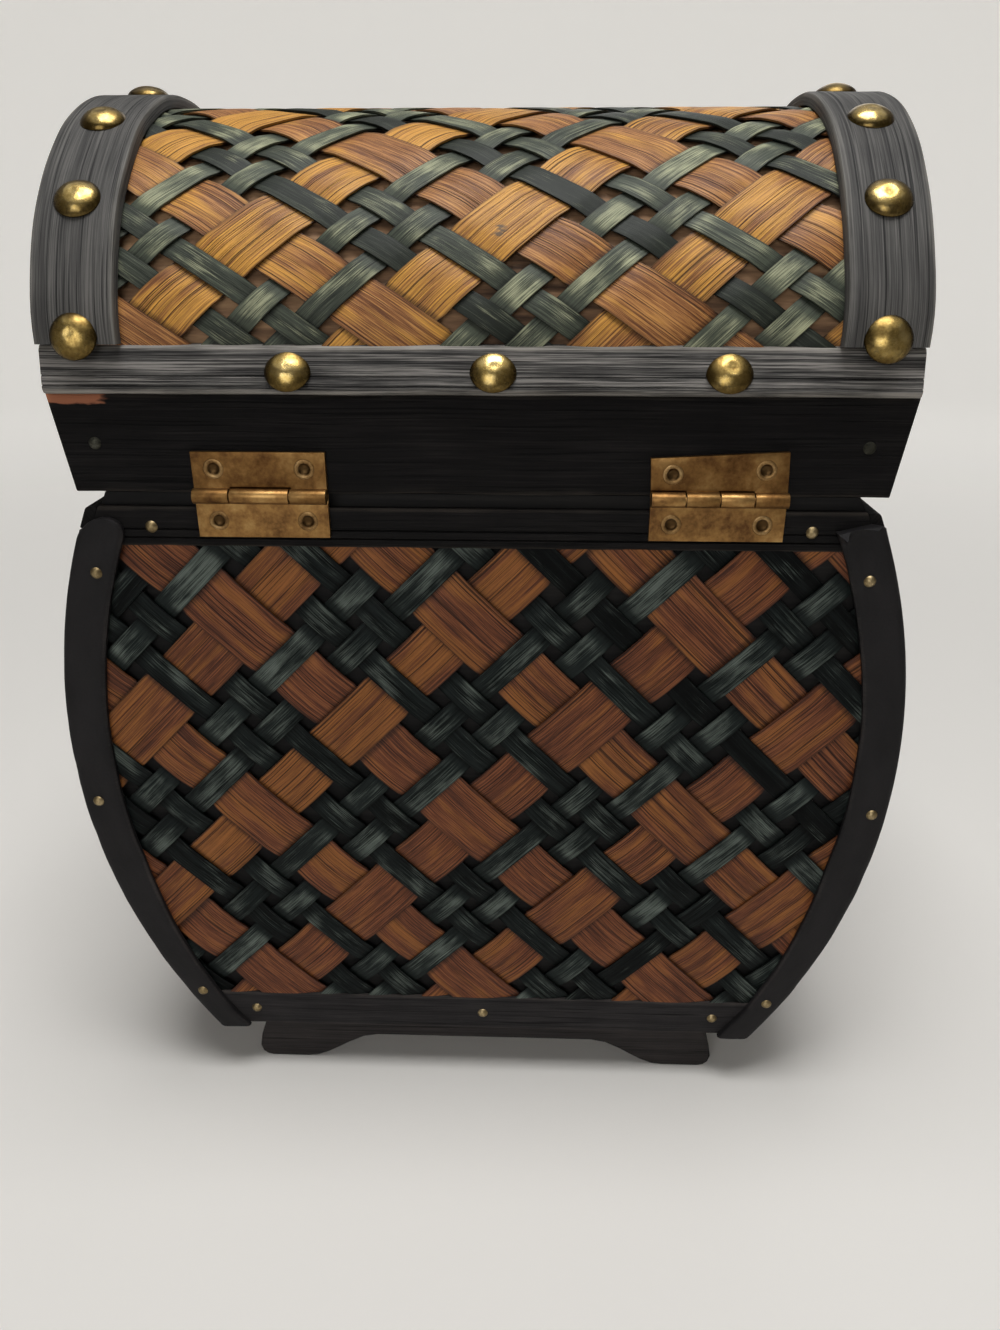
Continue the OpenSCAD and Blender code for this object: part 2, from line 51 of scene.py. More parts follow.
# %% [markdown]
# ## Camera
# The picture was taken from close by, a little above the chest. A camera so near gives the strong
# perspective in which the lid looks wider than the feet, so the distance matters as much as the
# angle. The focal length is written in picture widths, which is how it was measured.

# %% Camera
FOCAL_IN_WIDTHS = 0.987
CAMERA_AT = Vector((-10.4, 236, 192)) * MM
LOOK_DOWN, TURN = 23.82, 1.94
optics = bpy.data.cameras.new("camera")
optics.sensor_fit = "HORIZONTAL"
optics.lens = FOCAL_IN_WIDTHS * optics.sensor_width
optics.clip_start = 0.01
camera = bpy.data.objects.new("camera", optics)
camera.location = CAMERA_AT
camera.rotation_euler = (math.radians(90 - LOOK_DOWN), 0, math.radians(180 + TURN))
bpy.context.scene.collection.objects.link(camera)
bpy.context.scene.camera = camera
print("camera lens:", round(optics.lens, 2))

# %% [markdown]
# ## Finishes as expressions
# A material is a network of nodes, but it reads best as arithmetic. Flow wraps one socket, so that
# 1 - mask or 0.5 * streaks adds the Math nodes by itself. Finish holds one material, and its node
# method is the only place where any other node is made.

# %% Shader arithmetic
class Flow:
    """A number, colour or vector that changes over a surface."""

    def __init__(self, finish, socket):
        self.finish, self.socket = finish, socket

    def math(self, operation, *values):
        return self.finish.node("Math", {"operation": operation}, dict(enumerate(values)))

    def __add__(self, other):
        return self.math("ADD", self, other)

    def __sub__(self, other):
        return self.math("SUBTRACT", self, other)

    def __rsub__(self, other):
        return self.math("SUBTRACT", other, self)

    def __mul__(self, other):
        return self.math("MULTIPLY", self, other)

    def __truediv__(self, other):
        return self.math("DIVIDE", self, other)

    def __abs__(self):
        return self.math("ABSOLUTE", self)

    __radd__ = __add__
    __rmul__ = __mul__

    def rise(self, low, high):
        """0 up to low, 1 from high on, and a soft step between."""
        return self.finish.node("MapRange", {"interpolation_type": "SMOOTHSTEP"},
                                {"Value": self, "From Min": low, "From Max": high})


class Finish:
    """One material. Constants go straight to the shader's own sockets."""

    def __init__(self, name, **constants):
        self.material = bpy.data.materials.new(name)
        self.material.use_nodes = True
        self.tree = self.material.node_tree
        self.shader = self.tree.nodes["Principled BSDF"]
        for key, value in constants.items():
            self.shader.inputs[key.replace("_", " ")].default_value = value

    def node(self, kind, settings=None, sockets=None, out=0):
        made = self.tree.nodes.new("ShaderNode" + kind)
        for key, value in (settings or {}).items():
            if key == "stops":
                stops = made.color_ramp.elements
                while len(stops) < len(value):
                    stops.new(1)
                for stop, (place, colour) in zip(stops, value):
                    stop.position, stop.color = place, (*colour, 1)
            else:
                setattr(made, key, value)
        for key, value in (sockets or {}).items():
            usable = [s for s in made.inputs if s.name == key and not s.is_unavailable]
            target = made.inputs[key] if isinstance(key, int) else usable[0]
            if isinstance(value, Flow):
                self.tree.links.new(value.socket, target)
            elif target.type == "RGBA":
                target.default_value = (*value, 1)
            else:
                target.default_value = value
        return Flow(self, made.outputs[out])

    def attribute(self, name, out):
        return self.node("Attribute", {"attribute_name": name}, out=out)

    def strip_notes(self):
        """A bar's tint, how high it rides and how near it is to an edge."""
        colour = self.attribute("strip", "Color")
        return [self.node("SeparateColor", sockets={"Color": colour}, out=i)
                for i in range(3)]

    def where(self):
        """The place on the surface as a vector in metres."""
        return self.node("TexCoord", out="Object")

    def place(self):
        """X, Y and Z of the surface in millimetres."""
        where = self.where()
        return [self.node("SeparateXYZ", sockets={"Vector": where}, out=i) / MM
                for i in range(3)]

    def noise(self, vector, size, detail=2.0, rough=0.5, warp=0.0):
        """Noise whose features measure size, one length for each axis of the vector."""
        scaled = self.node("Mapping", {"vector_type": "POINT"},
                           {"Vector": vector, "Scale": [1 / s for s in size]})
        return self.node("TexNoise", None, {"Vector": scaled, "Scale": 1.0, "Detail": detail,
                                            "Roughness": rough, "Distortion": warp})

    def ramp(self, value, *stops):
        return self.node("ValToRGB", {"stops": stops}, {"Fac": value})

    def mix(self, factor, first, second):
        """A colour between two, which is the node's third result."""
        return self.node("Mix", {"data_type": "RGBA"},
                         {"Factor": factor, "A": first, "B": second}, out=2)

    def bump(self, height, strength, distance):
        return self.node("Bump", None, {"Height": height, "Strength": strength,
                                        "Distance": distance})

    def wire(self, **sockets):
        for key, value in sockets.items():
            self.tree.links.new(value.socket, self.shader.inputs[key.replace("_", " ")])
        return self.material

    def surface(self, colour, rough, normal):
        return self.wire(Base_Color=colour, Roughness=rough, Normal=normal)


print("finishes are written as expressions")

# %% [markdown]
# ## Stage and light
# A round cove stands in for a table with seamless paper: a floor whose edge curves up into a wall,
# spun from a few points, so that every view has the same pale ground. A lamp overhead makes the
# short shadow under the chest, and a weaker, wider one behind the camera opens up the back. A still
# weaker one opens up the front for other views. The far ground glows a little for the camera alone,
# so it looks pale without lighting the chest. The surroundings too are dim as a light.

# %% Cove, lamps and surroundings
FLOOR_R, COVE_R, WALL_TOP = 1.1, 0.5, 1.8
NEAR_GROUND, GLOW = 0.15, (0.44, 0.43, 0.41)
LAMPS_AIM = Vector((0, 0, 0.1))
AS_LIGHT, AS_SEEN = 0.05, 0.7


def object_from(bm, name, *materials):
    mesh = bpy.data.meshes.new(name)
    for face in bm.faces:
        face.smooth = True
    bm.to_mesh(mesh)
    bm.free()
    made = bpy.data.objects.new(name, mesh)
    for material in materials:
        mesh.materials.append(material)
    bpy.context.scene.collection.objects.link(made)
    return made


bm = bmesh.new()
cove = [bm.verts.new((r, 0, 0)) for r in (0, FLOOR_R)]
cove += [bm.verts.new((FLOOR_R + COVE_R * math.sin(a), 0, COVE_R - COVE_R * math.cos(a)))
         for a in [math.radians(9 * i) for i in range(1, 11)]]
cove.append(bm.verts.new((FLOOR_R + COVE_R, 0, WALL_TOP)))
edges = [bm.edges.new(pair) for pair in zip(cove, cove[1:])]
bmesh.ops.spin(bm, geom=cove + edges, cent=(0, 0, 0), axis=(0, 0, 1), angle=2 * math.pi, steps=64,
               use_merge=True)
bmesh.ops.remove_doubles(bm, verts=bm.verts, dist=1e-5)
bmesh.ops.recalc_face_normals(bm, faces=bm.faces)
bmesh.ops.reverse_faces(bm, faces=bm.faces)
paper = Finish("pale_paper", Base_Color=(0.74, 0.72, 0.685, 1), Roughness=0.85,
               Emission_Strength=1.0)
from_middle = paper.node("VectorMath", {"operation": "LENGTH"}, {0: paper.where()},
                         out="Value")
direct = paper.node("LightPath", out="Is Camera Ray")
far_ground = paper.mix(direct * from_middle.rise(NEAR_GROUND, FLOOR_R), (0, 0, 0), GLOW)
object_from(bm, "cove", paper.wire(Emission_Color=far_ground))


def lamp(name, place, size, power, beam=180):
    data = bpy.data.lights.new(name, "AREA")
    data.size, data.energy, data.spread = size, power, math.radians(beam)
    made = bpy.data.objects.new(name, data)
    made.location, made.visible_camera = place, False
    made.rotation_euler = (LAMPS_AIM - made.location).to_track_quat("-Z", "Y").to_euler()
    bpy.context.scene.collection.objects.link(made)


lamp("overhead", (-0.02, 0.13, 1.0), 0.5, 8.4)
lamp("window", (0.25, 1.15, 0.48), 0.7, 1.1, beam=90)
lamp("far_window", (-0.25, -1.1, 0.65), 0.7, 0.42, beam=90)

world = bpy.data.worlds.new("surroundings")
bpy.context.scene.world = world
world.use_nodes = True
tree = world.node_tree
path = tree.nodes.new("ShaderNodeLightPath")
seen = tree.nodes.new("ShaderNodeMath")
also = tree.nodes.new("ShaderNodeMath")
level = tree.nodes.new("ShaderNodeMapRange")
seen.operation = also.operation = "MAXIMUM"
for ray, target in (("Is Camera Ray", seen.inputs[0]), ("Is Glossy Ray", seen.inputs[1]),
                    ("Is Transmission Ray", also.inputs[1])):
    tree.links.new(path.outputs[ray], target)
tree.links.new(seen.outputs[0], also.inputs[0])
tree.links.new(also.outputs[0], level.inputs["Value"])
level.inputs["To Min"].default_value, level.inputs["To Max"].default_value = AS_LIGHT, AS_SEEN
tree.links.new(level.outputs[0], tree.nodes["Background"].inputs["Strength"])
tree.nodes["Background"].inputs["Color"].default_value = (0.97, 0.98, 1, 1)
bpy.context.scene.view_settings.view_transform = "Standard"

# %% [markdown]
# ## Sizes of the chest
# The faces are flat or are arcs, so a few sizes place everything. They repeat the CAD model's own
# values, in millimetres.

# %% Sizes
LONG_SIDES, SHORT_SIDES = (("back", 1), ("front", -1)), (("right", 1), ("left", -1))
BOW_R, BOW_X, BOW_Z, BODY_TOP = 129.0, -43.5, 89.0, 145.5
FACE, MAT_T, CURVE_GAP, BOARD_T = 52.0, 2.0, 0.1, 4.0
END_R = BOW_R + CURVE_GAP + MAT_T
FOOT_H, LOW_Z, TOP_Z0, TOP_Z1 = 14.0, 23.5, 135.2, 143.0
RIM_OVER, RIM_TAPER, RIM_LIP, RIM_T = 4.6, 2.8, 0.8, 7.0
RIM_Z0, RIM_Z1, SPRING_Z = 145.9, 164.5, 173.1
ARCH_A, SHOULDER_R, CROWN_R, DOME_RISE = 50.5, 18.0, 53.006, 40.0
CROWN_Z, SHOULDER_Y = SPRING_Z + DOME_RISE - CROWN_R, ARCH_A - SHOULDER_R
MEET = math.atan2(SPRING_Z - CROWN_Z, SHOULDER_Y)


def bow_at(r, z):
    """How far a bow of radius r stands out from the middle at the height z."""
    return BOW_X + math.sqrt(r * r - (z - BOW_Z) ** 2)


RIM_LOW = bow_at(BOW_R, BODY_TOP) + RIM_OVER
RIM_TOP = RIM_LOW + RIM_TAPER
END = RIM_TOP - RIM_LIP


def arch_at(e, off):
    """Y and Z where the arch's face looks up by the angle e, off mm outside its backing."""
    if MEET <= e <= math.pi - MEET:
        return (CROWN_R + off) * math.cos(e), CROWN_Z + (CROWN_R + off) * math.sin(e)
    side = 1 if e < math.pi / 2 else -1
    return (side * SHOULDER_Y + (SHOULDER_R + off) * math.cos(e),
            SPRING_Z + (SHOULDER_R + off) * math.sin(e))


def arch_angle(length, off):
    """The angle that the arch reaches when its length from the back foot is given."""
    shoulder, crown = MEET * (SHOULDER_R + off), (math.pi - 2 * MEET) * (CROWN_R + off)
    if length < shoulder:
        return length / (SHOULDER_R + off)
    if length < shoulder + crown:
        return MEET + (length - shoulder) / (CROWN_R + off)
    return math.pi - MEET + (length - shoulder - crown) / (SHOULDER_R + off)


def arch_whole(off):
    return 2 * MEET * (SHOULDER_R + off) + (math.pi - 2 * MEET) * (CROWN_R + off)


print("end face:", round(END, 2), "rim:", round(RIM_LOW, 2), round(RIM_TOP, 2))

# %% [markdown]
# ## Bars with grain
# Rails, straps, leather and woven strips are all long bars, so one helper makes them. A flat grid
# is rolled into a tube: its rows become stations along the bar and its columns a closed section.
# The doubled seam is merged and the ends are filled. Each vertex also keeps two notes for the
# finishes: grain, its place along and across the bar, and strip, which holds a tint, how high it
# rides and how near it is to an edge.

# %% Bar helpers
def new_bar_mesh():
    bm = bmesh.new()
    bm.verts.layers.float_vector.new("grain")
    bm.verts.layers.float_color.new("strip")
    return bm


def add_bar(bm, stations, section, place, tint=0.5, seed=0.0, lift=lambda s: 1.0, ends=True):
    """Adds a bar. section is a list of (across, up, edge) that runs over the top and back below."""
    rows, columns = len(stations) - 1, len(section)
    made = bmesh.ops.create_grid(bm, x_segments=rows, y_segments=columns, size=1)["verts"]
    grain, strip = bm.verts.layers.float_vector["grain"], bm.verts.layers.float_color["strip"]
    for vert in made:
        i = round((vert.co.x + 1) / 2 * rows)
        across, up, edge = section[round((vert.co.y + 1) / 2 * columns) % columns]
        vert[grain] = (stations[i], across - up, seed)
        vert[strip] = (tint, lift(stations[i]), edge, 1)
        vert.co = place(stations[i], across, up)
    bmesh.ops.remove_doubles(bm, verts=made, dist=1e-4)
    made = [v for v in made if v.is_valid]
    if ends:
        rims = {e for v in made for e in v.link_edges if e.is_boundary}
        bmesh.ops.holes_fill(bm, edges=list(rims), sides=0)
    return made


def spread(first, last, step):
    count = max(2, math.ceil((last - first) / step))
    return [first + (last - first) * i / count for i in range(count + 1)]


def make_piece(bm, name, material, body, slot, node, sharp=38):
    """Turns a mesh's faces outwards, scales it to metres and lets it stand for a CAD node."""
    if bm.calc_volume(signed=True) < 0:
        bmesh.ops.reverse_faces(bm, faces=bm.faces)
    bmesh.ops.scale(bm, vec=(MM, MM, MM), verts=bm.verts)
    bm.normal_update()
    for edge in bm.edges:
        edge.smooth = edge.calc_face_angle(0) < math.radians(sharp)
    made = object_from(bm, name, *(material if isinstance(material, list) else [material]))
    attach(made, body)
    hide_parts(node)
    print(name, "faces:", len(made.data.polygons))


def bar_piece(stations, section, place, seed, *piece):
    """A piece that is a single bar. piece is what make_piece asks for after the mesh."""
    bm = new_bar_mesh()
    add_bar(bm, stations, section, place, seed=seed)
    make_piece(bm, *piece)


print("bar helpers ready")

# %% [markdown]
# ## Bamboo finishes
# Split bamboo has grain only along its length: streaks a few tenths of a millimetre wide and
# several centimetres long, with a thin dark line here and there. The colour therefore reads the
# grain note, stretched far more along than across. Where a strip dips under its neighbour, shade is
# painted on, with painted shadow lines along its edges. Where it rides over, pale streaks are
# painted: partly rubbed-off dye, partly a painted sheen.

# %% Brown and green bamboo
def painted_tuck_shade(lift, edge):
    """Painted shade where a strip dips under its neighbour, and painted shadow lines along its own
    edges.
    """
    return (1 - lift.rise(0.05, 0.38)) * 0.65 + edge.rise(0.55, 0.95) * 0.6


def brown_bamboo(name, deep, middle, light, gold, knot=None):
    f = Finish(name, Specular_IOR_Level=0.2)
    grain = f.attribute("grain", "Vector")
    tint, lift, edge = f.strip_notes()
    fibre = f.noise(grain, (9, 0.20, 1), 3, 0.7)
    fine = f.noise(grain, (30, 0.32, 1), 3, 0.65)
    broad = f.noise(grain, (60, 2.4, 1), 2)
    patch = f.noise(grain, (15, 6, 1), 2)
    lines = f.noise(grain, (70, 0.34, 1), 1)
    tone = (0.5 + (fine - 0.5) * 2.0 + (fibre - 0.5) * 2.8 + (broad - 0.5) * 0.45
            + (patch - 0.5) * 0.6)
    colour = f.ramp(tone, (0.12, deep), (0.48, middle), (0.85, light))
    rich = f.ramp(tone, (0.12, middle), (0.50, [c * 0.66 for c in gold]), (0.85, gold))
    golden = (tint + (patch - 0.5) * 2.0 + (broad - 0.5) * 1.8).rise(0.30, 1.05)
    colour = f.mix(golden, colour, rich)
    # Pale streaks on the higher parts: partly bleached bamboo, partly a painted sheen.
    bleach_and_sheen = (fibre * 0.9 + patch * 1.2).rise(1.12, 1.55) * lift.rise(0.2, 0.8) * 0.3
    colour = f.mix(bleach_and_sheen, colour, [1.3 * c for c in light])
    dark = lines.rise(0.61, 0.65) * 0.8
    colour = f.mix(dark, colour, [c * 0.16 for c in deep])
    if knot:
        where = f.where()
        away = f.node("VectorMath", {"operation": "DISTANCE"},
                      {0: where, 1: Vector(knot) * MM}, out="Value")
        ragged = (f.noise(where, (0.0024, 0.001, 0.001), 3) - 0.5) * 4
        smudge = 1 - (away / MM + ragged).rise(0.6, 1.4)
        colour = f.mix(smudge * 0.8, colour, (0.055, 0.045, 0.036))
    # Painted shade under the neighbouring strips, and painted shadow lines along the strip's edges.
    colour = f.mix(painted_tuck_shade(lift, edge), colour, [c * 0.2 for c in deep])
    height = fine * 0.5 + fibre * 0.4 - dark
    return f.surface(colour, 0.62 - fine * 0.25 + dark * 0.2, f.bump(height, 0.5, 0.00013))


def green_bamboo(name, deep, middle, worn, shine):
    f = Finish(name, Specular_IOR_Level=shine)
    grain = f.attribute("grain", "Vector")
    tint, lift, edge = f.strip_notes()
    fibre = f.noise(grain, (7, 0.16, 1), 3, 0.7)
    fine = f.noise(grain, (26, 0.30, 1), 3, 0.65)
    broad = f.noise(grain, (40, 1.6, 1), 2)
    patch = f.noise(grain, (8, 4, 1), 2)
    tone = (0.5 + (broad - 0.5) * 1.0 + (fine - 0.5) * 1.2 + (fibre - 0.5) * 1.8
            + (tint - 0.5) * 1.0)
    colour = f.ramp(tone, (0.15, deep), (0.85, middle))
    streaks = fine * 0.7 + fibre * 1.1 + patch * 1.0 + (tint - 0.5) * 0.5
    # Pale streaks on the higher parts, in the worn colour: partly rubbed-off dye, partly a painted
    # sheen.
    wear_and_sheen = streaks.rise(1.36, 1.92) * lift.rise(0.4, 0.95)
    colour = f.mix(wear_and_sheen * 0.95, colour, worn)
    # Painted shade under the neighbouring strips, and painted shadow lines along the strip's edges.
    colour = f.mix(painted_tuck_shade(lift, edge), colour, [c * 0.3 for c in deep])
    height = fine * 0.6 + fibre * 0.6
    return f.surface(colour, 0.56 - fine * 0.2 + wear_and_sheen * 0.1, f.bump(height, 0.5, 0.00012))


LID_WEAVE = [brown_bamboo("bamboo_brown_lid", (0.105, 0.038, 0.014), (0.255, 0.104, 0.032),
                          (0.43, 0.205, 0.066), (0.59, 0.29, 0.052), knot=(-3.9, 44.4, 191.6)),
             green_bamboo("bamboo_green_lid", (0.015, 0.018, 0.014), (0.066, 0.076, 0.056),
                          (0.40, 0.41, 0.26), 0.12)]
BODY_WEAVE = [brown_bamboo("bamboo_brown_body", (0.045, 0.013, 0.006), (0.115, 0.034, 0.012),
                           (0.20, 0.068, 0.024), (0.25, 0.092, 0.020)),
              green_bamboo("bamboo_green_body", (0.0015, 0.002, 0.002), (0.0120, 0.0160, 0.0152),
                           (0.12, 0.142, 0.124), 0.06)]
print("bamboo finishes:", [m.name for m in LID_WEAVE + BODY_WEAVE])

# %% [markdown]
# ## The weave
# Each mat is a plain weave on the slant: every strip goes over one neighbour and under the next.
# A wide brown strip and two narrow green ones repeat in both directions. A texture could paint
# this, but the strips stand off each other and cast shadows, so each one is modelled. The weave is
# made flat, trimmed to its outline with cutting planes, and then laid on the face or the dome.
# Each cut is closed at once, so every strip stays solid.

# %% Weaving
PERIOD, BROWN_W, GREEN_W, DOME_GREEN_W = 32.7, 12.3, 5.3, 5.2
STRIP_T, WAVE, MIDDLE, BEND = 0.36, 0.33, 1.38, 2.8
STRIPS, REACH, STEP, MARGIN = 30, 260, 1.3, 10
ROOT = math.sqrt(0.5)
SQUARE = (Vector((ROOT, -ROOT)), Vector((ROOT, ROOT)))


def strip_plan(n, narrow):
    """Centre and width of strip n: one wide brown and two narrow green ones in turn."""
    group, member = divmod(n, 3)
    gap = (PERIOD - BROWN_W - 2 * narrow) / 3
    first = (BROWN_W + narrow) / 2 + gap
    return group * PERIOD + (0, first, first + narrow + gap)[member], narrow if member else BROWN_W


def wave_at(along, n, family, narrow):
    """How high strip n rides at a place along it, from -1 under a neighbour to 1 over one."""
    half_gap = (PERIOD - BROWN_W - 2 * narrow) / 6
    m = 3 * math.floor(along / PERIOD)
    centre, width = strip_plan(m, narrow)
    while along > centre + width / 2 + half_gap:
        m += 1
        centre, width = strip_plan(m, narrow)
    side = (1 if (n + m) % 2 == 0 else -1) * family
    inside = width / 2 + half_gap - abs(along - centre)
    return side * math.sin(min(1.0, max(0.0, inside / BEND)) * math.pi / 2)


def weave(outline, origin, place, seed, axes=SQUARE, narrow=GREEN_W):
    """A flat weave cut to an outline of (point, normal) planes and laid down by place.

    origin is a crossing of two brown strips, and axes give the steps across the two families."""
    rng = random.Random(seed)
    bm = new_bar_mesh()
    low = Vector((min(c[0] for c, _ in outline), min(c[1] for c, _ in outline)))
    high = Vector((max(c[0] for c, _ in outline), max(c[1] for c, _ in outline)))
    for family in (1, -1):
        for n in range(-STRIPS, STRIPS + 1):
            centre, width = strip_plan(n, narrow)
            width *= rng.uniform(0.95, 1.05)
            centre += rng.uniform(-0.35, 0.35)
            slant, shift = rng.uniform(-0.008, 0.008), rng.uniform(0, 900)
            tint = rng.random() * 0.65 + (0.0 if family > 0 else 0.35)

            def flat(s, w, h, c=centre, slant=slant, family=family):
                c = c + slant * s
                p, q = (c - w, s) if family > 0 else (s, c + w)
                u, v = Vector(origin) + p * axes[0] + q * axes[1]
                return Vector((u, v, h))

            inside = [s for s in spread(-REACH, REACH, STEP)
                      if low.x - MARGIN < flat(s, 0, 0).x < high.x + MARGIN
                      and low.y - MARGIN < flat(s, 0, 0).y < high.y + MARGIN]
            if len(inside) < 4:
                continue
            half, crown = width / 2, 0.05 if n % 3 == 0 else 0.07
            top = [(half * a, STRIP_T / 2 - crown * a * a, abs(a) ** 8)
                   for a in (-1, -0.95, -0.4, 0.4, 0.95, 1)]
            section = top + [(x, h - STRIP_T, edge) for x, h, edge in reversed(top)]

            def ride(s, w, h, n=n, family=family, flat=flat):
                return flat(s, w, MIDDLE + h + WAVE * wave_at(s, n, family, narrow))

            def lift(s, n=n, family=family):
                return 0.5 + 0.5 * wave_at(s, n, family, narrow)

            for vert in add_bar(bm, inside, section, ride, tint, shift, lift, ends=False):
                for face in vert.link_faces:
                    face.material_index = 1 if n % 3 else 0
    for co, normal in outline:
        everything = bm.verts[:] + bm.edges[:] + bm.faces[:]
        cut = bmesh.ops.bisect_plane(bm, geom=everything, dist=1e-4, plane_co=(*co, 0),
                                     plane_no=(*normal, 0), clear_outer=True)["geom_cut"]
        edges = [e for e in cut if isinstance(e, bmesh.types.BMEdge) and e.is_boundary]
        bmesh.ops.holes_fill(bm, edges=edges, sides=0)
    bmesh.ops.holes_fill(bm, edges=[e for e in bm.edges if e.is_boundary], sides=0)
    for vert in bm.verts:
        vert.co = place(*vert.co)
    return bm


print("strips:", [tuple(round(v, 2) for v in strip_plan(n, GREEN_W)) for n in range(3)])

# %% [markdown]
# The back and front mats lie flat on their boards, and reach under the rails and the leather.

# %% Mats on the flat faces
BACK_CROSSING, UNDER_RAIL, UNDER_LEATHER = (2.4, 73.3), 1.0, 2.0


def bow_planes(z0, z1, r):
    """Outline of a flat face: two level cuts and short cuts along the bowed ends."""
    planes = [((0, z0), (0, -1)), ((0, z1), (0, 1))]
    for side in (1, -1):
        for angle in range(-36, 33, 6):
            c, s = math.cos(math.radians(angle)), math.sin(math.radians(angle))
            planes.append(((side * (BOW_X + r * c), BOW_Z + r * s), (side * c, s)))
    return planes


for name, side in LONG_SIDES:
    def on_board(u, v, h, side=side):
        return Vector((u, side * (FACE - MAT_T + h), v))

    cuts = bow_planes(LOW_Z - UNDER_RAIL, TOP_Z0 + UNDER_RAIL, BOW_R - UNDER_LEATHER)
    bm = weave(cuts, BACK_CROSSING, on_board, 11 + side)
    make_piece(bm, name + "_mat", BODY_WEAVE, "body", "bamboo_weave", name + "_weave")

# %% [markdown]
# The end mats bend with the bowed boards, so their height is measured along the arc. Their cut
# edges end under the folded leather.

# %% Mats on the bowed ends
WRAP, END_CROSSING, UNDER_FOLD = 8.0, (4.0, -9.0), 0.5
ARC_0 = math.asin((LOW_Z - BOW_Z) / BOW_R) * BOW_R
ARC_1 = math.asin((TOP_Z0 - BOW_Z) / BOW_R) * BOW_R


def square_planes(half, low, high):
    """Outline of a mat that is a rectangle when it is laid flat."""
    return [((0, low), (0, -1)), ((0, high), (0, 1)), ((half, low), (1, 0)),
            ((-half, low), (-1, 0))]


for name, side in SHORT_SIDES:
    def bent(u, v, h, side=side):
        r, angle = BOW_R + CURVE_GAP + h, v / BOW_R
        return Vector((side * (BOW_X + r * math.cos(angle)), u, BOW_Z + r * math.sin(angle)))

    cuts = square_planes(FACE - WRAP + UNDER_FOLD, ARC_0 - UNDER_FOLD, ARC_1 + UNDER_FOLD)
    bm = weave(cuts, END_CROSSING, bent, 21 + side)
    make_piece(bm, name + "_end_mat", BODY_WEAVE, "body", "bamboo_weave", name + "_end_weave")

# %% [markdown]
# The dome's mat is measured along the arch, from the back rail over the crown to the front rail.
# A slanted weave gives when it is pulled over a curve, so its strips cross at less than a right
# angle here, and the steps across them were measured in the picture.

# %% Mats on the lid
DOME_CROSSING, GABLE_CROSSING = (15.2, 3.4), (0.0, 190.0)
DOME_OFF, DOME_HALF = 1.0, 70.0
DOME_STEPS = (Vector((21.28, -19.04)) / PERIOD, Vector((25.04, 16.10)) / PERIOD)
GABLE_IN, UNDER_TRIM = 4.0, 1.5


def domed(u, v, h):
    y, z = arch_at(arch_angle(v, DOME_OFF), CURVE_GAP + h)
    return Vector((u, y, z))


cuts = square_planes(DOME_HALF, -UNDER_RAIL, arch_whole(DOME_OFF) + UNDER_RAIL)
bm = weave(cuts, DOME_CROSSING, domed, 31, DOME_STEPS, DOME_GREEN_W)
make_piece(bm, "dome_mat", LID_WEAVE, "lid", "bamboo_weave", "dome_weave")

for name, side in SHORT_SIDES:
    def upright(u, v, h, side=side):
        return Vector((side * (END - GABLE_IN + h), u, v))

    cuts = [((0, SPRING_Z - UNDER_FOLD), (0, -1))]
    for e in [math.radians(degrees) for degrees in range(8, 180, 12)]:
        cuts.append((arch_at(e, -UNDER_TRIM), (math.cos(e), math.sin(e))))
    bm = weave(cuts, GABLE_CROSSING, upright, 41 + side)
    make_piece(bm, name + "_gable_mat", LID_WEAVE, "lid", "bamboo_weave", name + "_gable_weave")

# %% [markdown]
# ## Wood and leather finishes
# The straps and lid rails are bare wood gone grey, the rims and body rails are stained nearly
# black, and the edge strips are dark leather. All of them are palest where hands rub them, along
# their edges, so the edge note mixes in a paler tone. The back rim also has a chip, which is given
# by its start, its foot and its colour.

# %% Wood and leather finishes
def aged_wood(name, deep, middle, pale, worn, edge_wear, streak, shine, chip=None):
    f = Finish(name, Specular_IOR_Level=shine)
    grain = f.attribute("grain", "Vector")
    edge = f.strip_notes()[2]
    fine = f.noise(grain, (24, 0.30, 1), 4, 0.7)
    broad = f.noise(grain, (55, 1.7, 1), 2)
    cracks = f.noise(grain, (40, 0.45, 1), 1)
    blotch = f.noise(grain, (14, 14, 1), 3)
    tone = 0.5 + (fine - 0.5) * 2.6 * streak + (broad - 0.5) * 1.2 * streak + (blotch - 0.5) * 0.5
    colour = f.ramp(tone, (0.12, deep), (0.5, middle), (0.88, pale))
    crack = cracks.rise(0.60, 0.67)
    colour = f.mix(crack * 0.8, colour, [c * 0.2 for c in deep])
    rub = (edge * (fine + blotch)).rise(0.62, 1.15) * edge_wear
    colour = f.mix(rub, colour, worn)
    if chip:
        first, foot, bare = chip
        x, y, z = f.place()
        ragged = (f.noise(grain, (3, 0.8, 1), 3) - 0.5) * 4
        bared = (x + ragged).rise(first, first + 1.5) * (z + ragged * 0.35).rise(foot, foot + 0.4)
        colour = f.mix(bared * y.rise(FACE - 0.7, FACE - 0.2), colour, bare)
    height = fine + broad * 0.4 - crack * 0.8
    return f.surface(colour, 0.80 - fine * 0.2, f.bump(height, 0.55, 0.0002))


def dark_leather(name, deep, pale, worn):
    f = Finish(name, Specular_IOR_Level=0.18)
    grain = f.attribute("grain", "Vector")
    edge = f.strip_notes()[2]
    pebble = f.noise(grain, (0.5, 0.5, 0.5), 3, 0.6)
    crease = f.noise(grain, (3.0, 1.2, 1), 3, 0.6, 1.0)
    blotch = f.noise(grain, (12, 6, 1), 3)
    colour = f.ramp(0.5 + (blotch - 0.5) * 1.4 + (pebble - 0.5) * 0.6, (0.2, deep), (0.85, pale))
    rub = (edge * (pebble * 0.6 + blotch)).rise(0.62, 1.15)
    colour = f.mix(rub * 0.6, colour, worn)
    return f.surface(colour, 0.50 + blotch * 0.25, f.bump(pebble * 0.5 + crease, 0.4, 0.0002))


